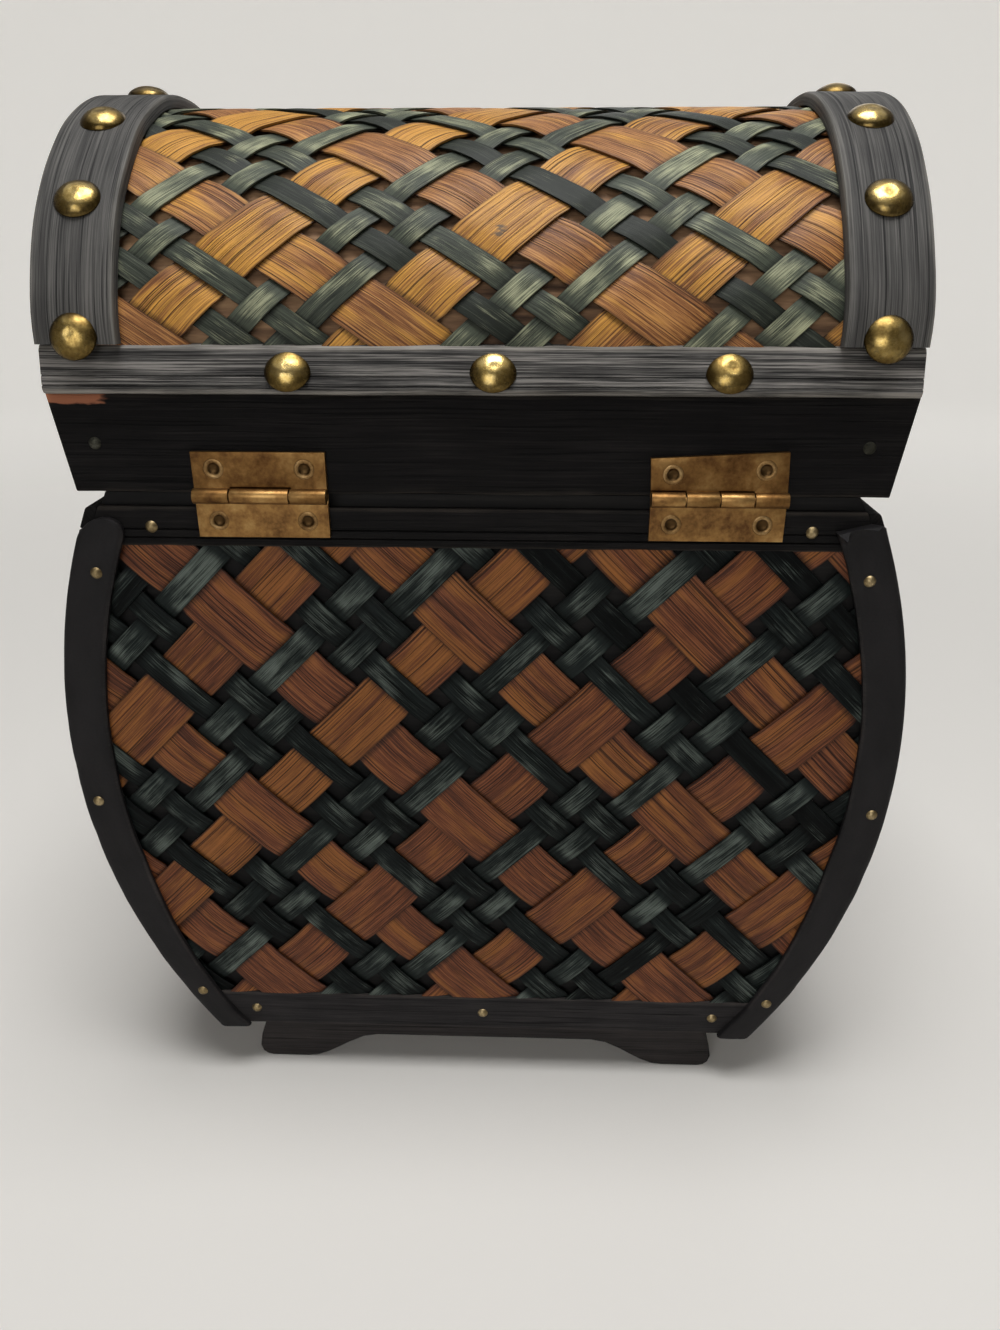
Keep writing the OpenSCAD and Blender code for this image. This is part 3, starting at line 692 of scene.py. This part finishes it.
STRAP_WOOD = aged_wood(
    "strap_wood", (0.020, 0.019, 0.0185), (0.057, 0.055, 0.052),
    (0.112, 0.107, 0.100), (0.20, 0.19, 0.17), 0.5, 0.7, 0.22)
RAIL_WOOD = aged_wood(
    "rail_wood", (0.012, 0.011, 0.0105), (0.072, 0.069, 0.065),
    (0.23, 0.215, 0.20), (0.25, 0.23, 0.20), 0.6, 1.15, 0.22)
BLACK = ((0.0022, 0.002, 0.002), (0.0048, 0.0043, 0.0043), (0.013, 0.0115, 0.011),
         (0.045, 0.037, 0.030), 0.45, 0.5, 0.09)
BLACK_WOOD = aged_wood("black_wood", *BLACK)
RIM_WOOD = aged_wood("rim_black_wood", *BLACK, chip=(68.5, RIM_Z1 - 2.2, (0.30, 0.115, 0.062)))
# The low rails are the same black wood, painted lighter for the light that the floor throws up on
# them.
FLOOR_LIT_BLACK_WOOD = aged_wood(
    "floor_lit_black_wood", (0.008, 0.0072, 0.0074), (0.017, 0.0155, 0.016),
    (0.032, 0.029, 0.029), (0.06, 0.05, 0.043), 0.45, 0.5, 0.12)
FOOT_WOOD = aged_wood(
    "foot_wood", (0.010, 0.0088, 0.0086), (0.022, 0.019, 0.0185),
    (0.040, 0.034, 0.032), (0.075, 0.055, 0.042), 0.5, 0.5, 0.15)
EDGE_LEATHER = dark_leather(
    "edge_leather", (0.0048, 0.0043, 0.0046), (0.0125, 0.0112, 0.0118), (0.042, 0.036, 0.033))
print("wood and leather ready")

# %% [markdown]
# ## Straps and trims
# A strap is a thin slat bent over the dome. Its section has rounded corners, and small waves in
# its height and width keep it from looking machined.

# %% Straps and trims
LINE_HALF, LINE_DEPTH = 0.3, 0.4


def slat(width, low, high, r, lines=()):
    """Section of a slat: top corners rounded by r, a flat base, and shallow lines on its face."""
    half = width / 2
    top = [(-half, low, 0.2), (-half, high - r, 0.9), (-half + 0.3 * r, high - 0.3 * r, 1.0),
           (-half + r, high, 0.8)]
    inner = sorted([x for line in lines for x in (line - LINE_HALF, line, line + LINE_HALF)]
                   + [half * a for a in (-0.6, -0.2, 0.2, 0.6)])
    top += [(x, high - (LINE_DEPTH if x in lines else 0.0), 0.0) for x in inner]
    top += [(half - r, high, 0.8), (half - 0.3 * r, high - 0.3 * r, 1.0), (half, high - r, 0.9),
            (half, low, 0.2)]
    return top


def rough(point, amount, size):
    """A small smooth offset that depends only on where the point is."""
    return noise.noise(Vector(point) / size) * amount


STRAP_W, STRAP_T, TRIM_W, TRIM_T = 15.0, 2.5, 9.0, 2.0
STRAP_LIFT, TRIM_LIFT, BENT_STEP = 0.1, 0.05, 2.2
STRAP_SECTION = slat(STRAP_W, MAT_T + CURVE_GAP, MAT_T + STRAP_T, 0.7)
TRIM_SECTION = slat(TRIM_W, 0, TRIM_T, 0.6)
for name, side in SHORT_SIDES:
    def on_dome(s, w, h, side=side):
        y, z = arch_at(arch_angle(s, 0), h + rough((s, w, side * 7), 0.12, 9))
        return Vector((side * (END - STRAP_W / 2) + w + rough((s, side * 31, 0), 0.25, 14), y, z))

    bar_piece(spread(STRAP_LIFT, arch_whole(0) - STRAP_LIFT, BENT_STEP), STRAP_SECTION, on_dome,
              side * 40, name + "_dome_strap", STRAP_WOOD, "lid", "grey_wood", name + "_strap")

    def on_gable(s, w, h, side=side):
        y, z = arch_at(arch_angle(s, 0), MAT_T - TRIM_W / 2 + w)
        return Vector((side * (END - TRIM_T + h + rough((y, z, side), 0.1, 8)), y, z))

    bar_piece(spread(TRIM_LIFT, arch_whole(0) - TRIM_LIFT, BENT_STEP), TRIM_SECTION, on_gable,
              side * 55, name + "_gable_trim", STRAP_WOOD, "lid", "grey_wood", name + "_trim")

# %% [markdown]
# ## Rails and rims
# The lid rails carry fine lines from the plane, and the upper part of their long faces slants back.
# The rim boards draw in towards the body.

# %% Lid rails and rims
RAIL_OUT, RAIL_H, RAIL_LINES, END_RAIL_T = 54.5, 8.6, (-2.6, -0.9), 4.0
RAIL_SLANT, SLANT_FROM, RAIL_STEP, SHORT_STEP = 1.8, -0.35, 2.0, 3.0
RAIL_MID, RIM_MID, RIM_H = (RIM_Z1 + SPRING_Z) / 2, (RIM_Z0 + RIM_Z1) / 2, RIM_Z1 - RIM_Z0


def rim_lean(z):
    """How far the rim's ends have come out at the height z above its lower corners."""
    return (RIM_TOP - RIM_LOW) * (z - RIM_Z0) / RIM_H


for name, side in LONG_SIDES:
    def on_lid_face(s, w, h, side=side):
        if h > ARCH_A + 1:
            h += rough((s, w, 3), 0.12, 5) - RAIL_SLANT * max(0.0, w / RAIL_H - SLANT_FROM)
        return Vector((s, side * h, RAIL_MID + w + rough((s, 9 * side, 0), 0.12, 18)))

    bar_piece(spread(-END, END, RAIL_STEP), slat(RAIL_H, ARCH_A, RAIL_OUT, 1.0, RAIL_LINES),
              on_lid_face, side * 63, name + "_lid_slat", RAIL_WOOD, "lid", "grey_wood",
              name + "_lid_rail")

    def on_rim(s, w, h, side=side):
        z = RIM_MID + w
        across = s / RIM_TOP * (RIM_LOW + rim_lean(z))
        return Vector((across, side * h, z + rough((s, side * 3, 0), 0.2, 21)))

    bar_piece(spread(-RIM_TOP, RIM_TOP, RAIL_STEP), slat(RIM_H, FACE - RIM_T, FACE, 0.5), on_rim,
              side * 71, name + "_rim_board", RIM_WOOD if side > 0 else BLACK_WOOD, "lid",
              "black_wood", name + "_rim")

for name, side in SHORT_SIDES:
    def on_lid_end(s, w, h, side=side):
        return Vector((side * h, s, RAIL_MID + w))

    bar_piece(spread(-ARCH_A, ARCH_A, RAIL_STEP),
              slat(RAIL_H, END - END_RAIL_T, END, 0.9, RAIL_LINES), on_lid_end, side * 82,
              name + "_lid_slat", RAIL_WOOD, "lid", "grey_wood", name + "_lid_rail")

    def on_end_rim(s, w, h, side=side):
        z = RIM_MID + w
        return Vector((side * (h + rim_lean(z)), s, z))

    bar_piece(spread(RIM_T - FACE, FACE - RIM_T, SHORT_STEP),
              slat(RIM_H, RIM_LOW - RIM_T, RIM_LOW, 0.5), on_end_rim, side * 91,
              name + "_rim_board", BLACK_WOOD, "lid", "black_wood", name + "_rim")

# %% [markdown]
# The body rails end on the bow, under the leather. Only the top ones have the plane's lines.

# %% Body rails
RAIL_RUN, TOP_LINES = 80.0, (-2.2, -0.5)
for rail, z0, z1, lines, wood in (("top", TOP_Z0, TOP_Z1, TOP_LINES, BLACK_WOOD),
                                  ("low", FOOT_H, LOW_Z, (), FLOOR_LIT_BLACK_WOOD)):
    for name, side in LONG_SIDES:
        def on_face(s, w, h, side=side, middle=(z0 + z1) / 2):
            z = middle + w
            return Vector((s / RAIL_RUN * bow_at(BOW_R, z), side * h, z))

        bar_piece(spread(-RAIL_RUN, RAIL_RUN, RAIL_STEP),
                  slat(z1 - z0, FACE - MAT_T, FACE, 0.5, lines), on_face, side * 101,
                  f"{name}_{rail}_slat", wood, "body", "black_wood", f"{name}_{rail}_rail")

    for name, side in SHORT_SIDES:
        def on_bow(s, w, h, side=side, middle=(z0 + z1) / 2):
            z = middle + w
            return Vector((side * bow_at(BOW_R + CURVE_GAP + h, z), s, z))

        bar_piece(spread(-FACE, FACE, SHORT_STEP), slat(z1 - z0, 0, MAT_T, 0.5, lines), on_bow,
                  side * 113, f"{name}_{rail}_slat", wood, "body", "black_wood",
                  f"{name}_{rail}_rail")

# %% [markdown]
# ## Leather strips
# A leather strip is folded over each bowed edge. It lies on the flat face, turns the corner and
# covers the cut edge of the end mat between the rails. Its section is that bent band, with the
# corner rounded, and the strip is swept up the bow in level slices. It is narrower near its foot.
# Its upper end is cut round, and on one corner it is torn and curls away.

# %% Leather strips
STRIP_W, LEATHER_T, STRIP_TOP, AT_RAIL = 6.5, 1.5, 141.0, 0.02
NARROWED, NARROW_Z, NARROW_RUN = 0.4, 62.0, 40.0
CURL, FRAY, CORNER_LOST = 1.3, 2.6, 1.6
OUT = END_R - BOW_R
BAND = STRIP_W + OUT
FOLD = [(-STRIP_W, 0.0, 0.3), (-STRIP_W, 0.95, 1.0), (-STRIP_W + 0.35, 1.3, 1.0),
        (-STRIP_W + 1.0, 1.48, 0.5), (-4.5, LEATHER_T, 0.0), (-2.0, LEATHER_T, 0.0),
        (0.6, LEATHER_T, 0.0), (OUT - 0.8, 1.42, 0.5), (OUT - 0.25, 1.1, 1.0), (OUT, 0.5, 0.8),
        (OUT, -0.4, 0.2), (OUT, -4.0, 0.0), (OUT, -WRAP + 0.9, 0.5),
        (OUT - 0.3, -WRAP + 0.25, 1.0), (OUT - 0.8, -WRAP, 0.8), (CURVE_GAP, -WRAP, 0.2),
        (CURVE_GAP, 0.0, 0.0)]
STRIP_STATIONS = (spread(FOOT_H, LOW_Z - AT_RAIL, 1.5) + spread(LOW_Z, TOP_Z0, 1.5)
                  + spread(TOP_Z0 + AT_RAIL, STRIP_TOP, 0.6))
for face, toward in LONG_SIDES:
    for name, side in SHORT_SIDES:
        torn = face == "back" and name == "left"

        def along_bow(z, w, h, side=side, toward=toward, torn=torn):
            tip = max(0.0, (z - STRIP_TOP + BAND / 2) / (BAND / 2))
            if torn:
                end = 1.0
                h += CURL * tip * tip * (0.35 + 0.65 * (w < -3)) if h > 0.3 else 0
                frayed = FRAY * abs(noise.noise(Vector((w * 0.8, 4.1, 7))))
                z -= tip * (frayed + (CORNER_LOST if w < -5 else 0))
            else:
                end = math.sqrt(max(0.02, 1 - tip * tip))
            if h < -0.1 and not LOW_Z <= z <= TOP_Z0:
                h = -0.05
            if w < 0:
                w *= 1 - NARROWED * min(1.0, max(0.0, (NARROW_Z - z) / NARROW_RUN))
            middle = OUT - BAND / 2
            w = middle + (w - middle) * end
            r = BOW_R + w + rough((z, side * 13, toward * 5), 0.22, 9) * (w < 1)
            h += rough((z, w, side * 3 + toward), 0.2, 4) if h > 0.9 else 0
            return Vector((side * bow_at(r, z), toward * (FACE + h), z))

        bar_piece(STRIP_STATIONS, FOLD, along_bow, side * 127 + toward, f"{face}_{name}_leather",
                  EDGE_LEATHER, "body", "edge_leather", f"{face}_{name}_strip")

# %% [markdown]
# ## Feet
# Each foot board is cut from one plank: an apron with a foot at either end. The outline is drawn
# from a few points, extruded to its thickness and bevelled.

# %% Foot boards
FOOT_Y, FOOT_T, FOOT_BEVEL = 42.5, 6.0, 0.5
SOLE_IN, SLOPE_RUN, APRON_Z = 44.5, 18.0, 7.5
HALF_FOOT = [(SOLE_IN - SLOPE_RUN * t, APRON_Z / 2 * (1 - math.cos(math.pi * t)))
             for t in (1, 0.8, 0.6, 0.45, 0.3, 0.15, 0)]
HALF_FOOT += [(53.5, 0), (54.9, 0.35), (56.0, 1.3), (56.5, 3), (55.9, 6.5), (54.6, 10.5),
              (53.9, FOOT_H)]
for name, side in LONG_SIDES:
    bm = new_bar_mesh()
    outline = HALF_FOOT + [(-x, z) for x, z in reversed(HALF_FOOT)]
    face = bm.faces.new([bm.verts.new((x, side * FOOT_Y, z)) for x, z in outline])
    grown = bmesh.ops.extrude_face_region(bm, geom=[face])["geom"]
    bmesh.ops.translate(bm, vec=(0, side * FOOT_T, 0),
                        verts=[v for v in grown if isinstance(v, bmesh.types.BMVert)])
    bmesh.ops.recalc_face_normals(bm, faces=bm.faces)
    bmesh.ops.bevel(bm, geom=[e for e in bm.edges if e.calc_face_angle(0) > 0.9],
                    offset=FOOT_BEVEL, segments=2, profile=0.5, affect="EDGES", material=-1)
    bmesh.ops.triangulate(bm, faces=[f for f in bm.faces if len(f.verts) > 4])
    grain, strip = bm.verts.layers.float_vector["grain"], bm.verts.layers.float_color["strip"]
    for vert in bm.verts:
        vert[grain], vert[strip] = (vert.co.x, vert.co.z, side * 5), (0.5, 1, 0.2, 1)
    make_piece(bm, name + "_feet", FOOT_WOOD, "body", "foot_wood", name + "_foot_board", sharp=50)

# %% [markdown]
# ## Brass
# All the metal is old brass: gold where it is rubbed and brown where it isn't. Nails are also
# darker near the lip, and screws in their dished middle, since both read the edge note.

# %% Brass finishes
def old_brass(name, deep, gold, bright, dull, size, lip=False):
    f = Finish(name, Metallic=1.0)
    where = f.where()
    blotch = f.noise(where, (size,) * 3, 4, 0.6)
    fine = f.noise(where, (size / 7,) * 3, 3, 0.6)
    tone = 0.5 + (blotch - 0.5) * 1.6 + (fine - 0.5) * 0.5
    colour = f.ramp(tone, (0.18, deep), (0.5, gold), (0.85, bright))
    if lip:
        edge = f.strip_notes()[2]
        darker = (edge + (fine - 0.5) * 0.6).rise(0.45, 1.05) * 0.9
        colour = f.mix(darker, colour, [c * 0.4 for c in deep])
    return f.surface(colour, dull + (0.5 - blotch) * 0.35, f.bump(fine + blotch, 0.25, 0.0001))


NAIL_BRASS = old_brass(
    "nail_brass", (0.12, 0.072, 0.020), (0.36, 0.25, 0.080),
    (0.58, 0.44, 0.19), 0.27, 0.004, lip=True)
HINGE_BRASS = old_brass(
    "hinge_brass", (0.11, 0.052, 0.020), (0.27, 0.145, 0.049), (0.43, 0.265, 0.10), 0.42, 0.006)
# The upper leaves are the same brass as the lower ones, painted darker as shade.
SHADED_HINGE_BRASS = old_brass(
    "shaded_upper_hinge_brass", (0.08, 0.036, 0.013), (0.175, 0.09, 0.029),
    (0.29, 0.17, 0.062), 0.48, 0.006)
BRAD_BRASS = old_brass(
    "brad_brass", (0.10, 0.07, 0.035), (0.24, 0.18, 0.09), (0.42, 0.33, 0.19), 0.45, 0.003)
DULL_BRAD = old_brass(
    "dull_brad", (0.018, 0.018, 0.014), (0.045, 0.044, 0.034), (0.10, 0.10, 0.08), 0.6, 0.002)
SCREW_BRASS = old_brass(
    "screw_brass", (0.12, 0.065, 0.025), (0.24, 0.14, 0.055),
    (0.36, 0.24, 0.11), 0.42, 0.002, lip=True)
print("brass ready")

# %% [markdown]
# A nail is spun from a short profile, and its place decides how the hammer dented it, so that no
# two are alike. Those on the long rails and at the straps' lower ends look up a little.

# %% Dome nails
NAIL_R, NAIL_H, FULLNESS = 4.3, 2.1, 0.62
RAIL_TILT = math.radians(36)
RAIL_NAIL_X, END_NAIL_Y = (-45, -3, 34), ARCH_A - NAIL_R - 1
END_NAIL_Z = RIM_Z1 + 0.3 + NAIL_R
RAIL_SEAT, STRAP_SEAT = 1.0, 0.2
STRAP_NAILS = ((4, 18), (40, 46), (62, 64), (90, 90), (118, 116), (140, 134), (176, 162))
GABLE_NAILS = (45, 90, 135)


def spin_profile(bm, points, steps=32):
    """Spins (radius, height) points into a closed round piece, and returns its new vertices."""
    before = set(bm.verts)
    verts = [bm.verts.new((r, 0, z)) for r, z in points]
    edges = [bm.edges.new(pair) for pair in zip(verts, verts[1:])]
    bmesh.ops.spin(bm, geom=verts + edges, cent=(0, 0, 0), axis=(0, 0, 1), angle=2 * math.pi,
                   steps=steps, use_merge=True)
    mine = [v for v in bm.verts if v not in before]
    bmesh.ops.remove_doubles(bm, verts=mine, dist=1e-4)
    mine = [v for v in mine if v.is_valid]
    bmesh.ops.recalc_face_normals(bm, faces=list({f for v in mine for f in v.link_faces}))
    strip = bm.verts.layers.float_color["strip"]
    for vert in mine:
        vert[strip] = (0.5, 1, math.hypot(vert.co.x, vert.co.y) / points[-2][0], 1)
    return mine


def add_nail(bm, place, out):
    """One nail head: a spun dome with a thin lip, flattened on top by the hammer."""
    points = [(0, NAIL_H)]
    points += [(NAIL_R * t, NAIL_H * (1 - t * t) ** FULLNESS)
               for t in (0.1, 0.2, 0.3, 0.4, 0.5, 0.6, 0.7, 0.8, 0.88, 0.95, 0.985)]
    points += [(NAIL_R, 0.1), (NAIL_R, 0.0), (0, 0)]
    place, turn = Vector(place), Vector(out).to_track_quat("Z", "Y")
    blow = Vector([noise.noise(place / 3.7 + Vector((0, 0, 20 * i))) for i in range(3)])
    for vert in spin_profile(bm, points):
        if vert.co.z > 0.3:
            vert.co.z += noise.noise(vert.co / 3 + place) * 0.12
            slanted = 0.13 * (blow.x * vert.co.x + blow.y * vert.co.y)
            flat = NAIL_H - 0.12 - 0.15 * blow.z + slanted
            vert.co.z = min(vert.co.z, flat + 0.05 * vert.co.xy.length)
        vert.co = turn @ vert.co + place


nails = {kind: new_bar_mesh() for kind in ("rail", "strap", "gable")}
for side in (1, -1):
    for x in RAIL_NAIL_X:
        add_nail(nails["rail"], (x, side * (RAIL_OUT - RAIL_SEAT), RAIL_MID),
                 (0, side * math.cos(RAIL_TILT), math.sin(RAIL_TILT)))
    for y in (-END_NAIL_Y, 0, END_NAIL_Y):
        add_nail(nails["rail"], (side * END, y, END_NAIL_Z), (side, 0, 0))
    for at, out in STRAP_NAILS:
        y, z = arch_at(math.radians(at), MAT_T + STRAP_T - STRAP_SEAT)
        add_nail(nails["strap"], (side * (END - STRAP_W / 2), y, z),
                 (0, math.cos(math.radians(out)), math.sin(math.radians(out))))
    for at in GABLE_NAILS:
        y, z = arch_at(math.radians(at), MAT_T - TRIM_W / 2)
        add_nail(nails["gable"], (side * END, y, z), (side, 0, 0))
for kind, bm in nails.items():
    make_piece(bm, kind + "_dome_nails", NAIL_BRASS, "lid", "nail_brass", kind + "_nails", sharp=60)

# %% [markdown]
# ## Hinges
# The CAD leaves have the right shape, but their edges are as sharp as a drawing. A copy is merged,
# because the CAD mesh is loose triangles, its flat faces are joined again, and its edges are
# bevelled. The screws are spun anew.

# %% Leaves and screws
LEAF_BEVEL, SCREWS_APART = 0.15, 4.0
TO_BACK = Vector((0, 1, 0)).to_track_quat("Z", "Y")


def soften(name, material, body):
    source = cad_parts[name]
    bm = bmesh.new()
    bm.from_mesh(source.data)
    bm.transform(source.matrix_world)
    bmesh.ops.scale(bm, vec=(1 / MM,) * 3, verts=bm.verts)
    bmesh.ops.remove_doubles(bm, verts=bm.verts, dist=1e-3)
    bmesh.ops.dissolve_limit(bm, angle_limit=math.radians(1), verts=bm.verts, edges=bm.edges)
    bmesh.ops.recalc_face_normals(bm, faces=bm.faces)
    sharp = [e for e in bm.edges if e.calc_face_angle(0) > math.radians(50)]
    bmesh.ops.bevel(bm, geom=sharp, offset=LEAF_BEVEL, segments=2, profile=0.5, affect="EDGES",
                    material=-1, clamp_overlap=True)
    bmesh.ops.triangulate(bm, faces=[f for f in bm.faces if len(f.verts) > 4])
    make_piece(bm, name + "_soft", material, body, "hinge_brass", name)


def add_screws(name, body):
    """Dished screw heads, each set where the CAD screw's head is."""
    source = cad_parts[name]
    points = sorted((source.matrix_world @ v.co / MM for v in source.data.vertices),
                    key=lambda p: p.x)
    groups = [[points[0]]]
    for point in points[1:]:
        if point.x - groups[-1][-1].x > SCREWS_APART:
            groups.append([])
        groups[-1].append(point)
    bm = new_bar_mesh()
    for group in groups:
        low = [min(p[i] for p in group) for i in range(3)]
        high = [max(p[i] for p in group) for i in range(3)]
        place = Vector(((low[0] + high[0]) / 2, high[1], (low[2] + high[2]) / 2))
        r = (high[0] - low[0]) / 2
        dish = [(0, -0.55), (r * 0.35, -0.5), (r * 0.55, -0.3), (r * 0.68, 0.02), (r * 0.85, 0.06),
                (r, -0.04), (r * 0.7, -0.9), (0, -0.9)]
        head = spin_profile(bm, dish, 24)
        strip = bm.verts.layers.float_color["strip"]
        for vert in head:
            # The dished middle gets a high edge note, so it comes out darker.
            vert[strip] = (0.5, 1, 1.2 if vert.co.xy.length < r * 0.6 else 0.2, 1)
            vert.co = TO_BACK @ vert.co + place
    make_piece(bm, name + "_heads", SCREW_BRASS, body, "hinge_brass", name, sharp=60)


add_screws("lower_screws", "body")
add_screws("upper_screws", "lid")
for name in ("left", "right"):
    soften(name + "_lower_leaf", HINGE_BRASS, "body")
    soften(name + "_upper_leaf", SHADED_HINGE_BRASS, "lid")

# %% [markdown]
# ## The CAD nodes that stay
# The boards behind the weave, the pins and the brads already have their true shapes, so they
# only get finishes. They have no grain note, so these finishes read Object coordinates. The body's
# boards are black outside and brown inside.

# %% Boards, backing and fittings
INNER_Y, INNER_R, INNER_TOP = FACE - MAT_T - BOARD_T, BOW_R - BOARD_T, 140.0


def plain_board(name, deep, middle, pale, along, inside=None):
    f = Finish(name, Specular_IOR_Level=0.2)
    where = f.where()
    fine = f.noise(where, along, 4, 0.6)
    blotch = f.noise(where, (0.03, 0.03, 0.03), 3)
    tone = 0.5 + (fine - 0.5) * 1.2 + (blotch - 0.5) * 0.7
    colour = f.ramp(tone, (0.2, deep), (0.5, middle), (0.8, pale))
    if inside:
        x, y, z = f.place()
        reach = (abs(x) - BOW_X) * (abs(x) - BOW_X) + (z - BOW_Z) * (z - BOW_Z)
        within = 1 - reach.rise((INNER_R + 1) ** 2, (INNER_R + 2) ** 2)
        within = (1 - abs(y).rise(INNER_Y + 0.6, INNER_Y + 1.4)) * within
        within = within * (1 - z.rise(INNER_TOP, INNER_TOP + 1))
        colour = f.mix(within, colour, f.ramp(tone, (0.2, inside[0]), (0.8, inside[1])))
    return f.surface(colour, 0.7 + (fine - 0.5) * 0.2, f.bump(fine, 0.3, 0.0002))


INNER_WOOD = plain_board(
    "inner_wood", (0.10, 0.055, 0.028), (0.20, 0.115, 0.06),
    (0.30, 0.19, 0.10), (0.05, 0.05, 0.0016))
BLACK_BOARD = plain_board(
    "black_board", (0.003, 0.003, 0.003), (0.006, 0.0055, 0.0055),
    (0.013, 0.012, 0.011), (0.05, 0.05, 0.0012),
    inside=((0.075, 0.040, 0.021), (0.20, 0.115, 0.06)))
# The dome's backing is tan wood; its dark tones, mottled at the size of the weave's holes, are
# painted shade.
TAN_WITH_PAINTED_SHADE = plain_board(
    "tan_backing", (0.05, 0.028, 0.017), (0.22, 0.125, 0.068),
    (0.42, 0.26, 0.14), (0.014, 0.002, 0.002))
KEPT = {
    INNER_WOOD: ["bottom_board", "left_gable", "right_gable"],
    BLACK_BOARD: ["back_board", "front_board", "left_end_board", "right_end_board"],
    TAN_WITH_PAINTED_SHADE: ["dome_shell"],
    HINGE_BRASS: ["left_pin", "right_pin"],
    BRAD_BRASS: ["back_brads", "front_brads"],
    DULL_BRAD: ["rim_brads"],
}
for material, nodes in KEPT.items():
    for name in nodes:
        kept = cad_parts[name].data.materials
        kept.clear()
        kept.append(material)
print("CAD nodes with new finishes:", sum(len(n) for n in KEPT.values()))
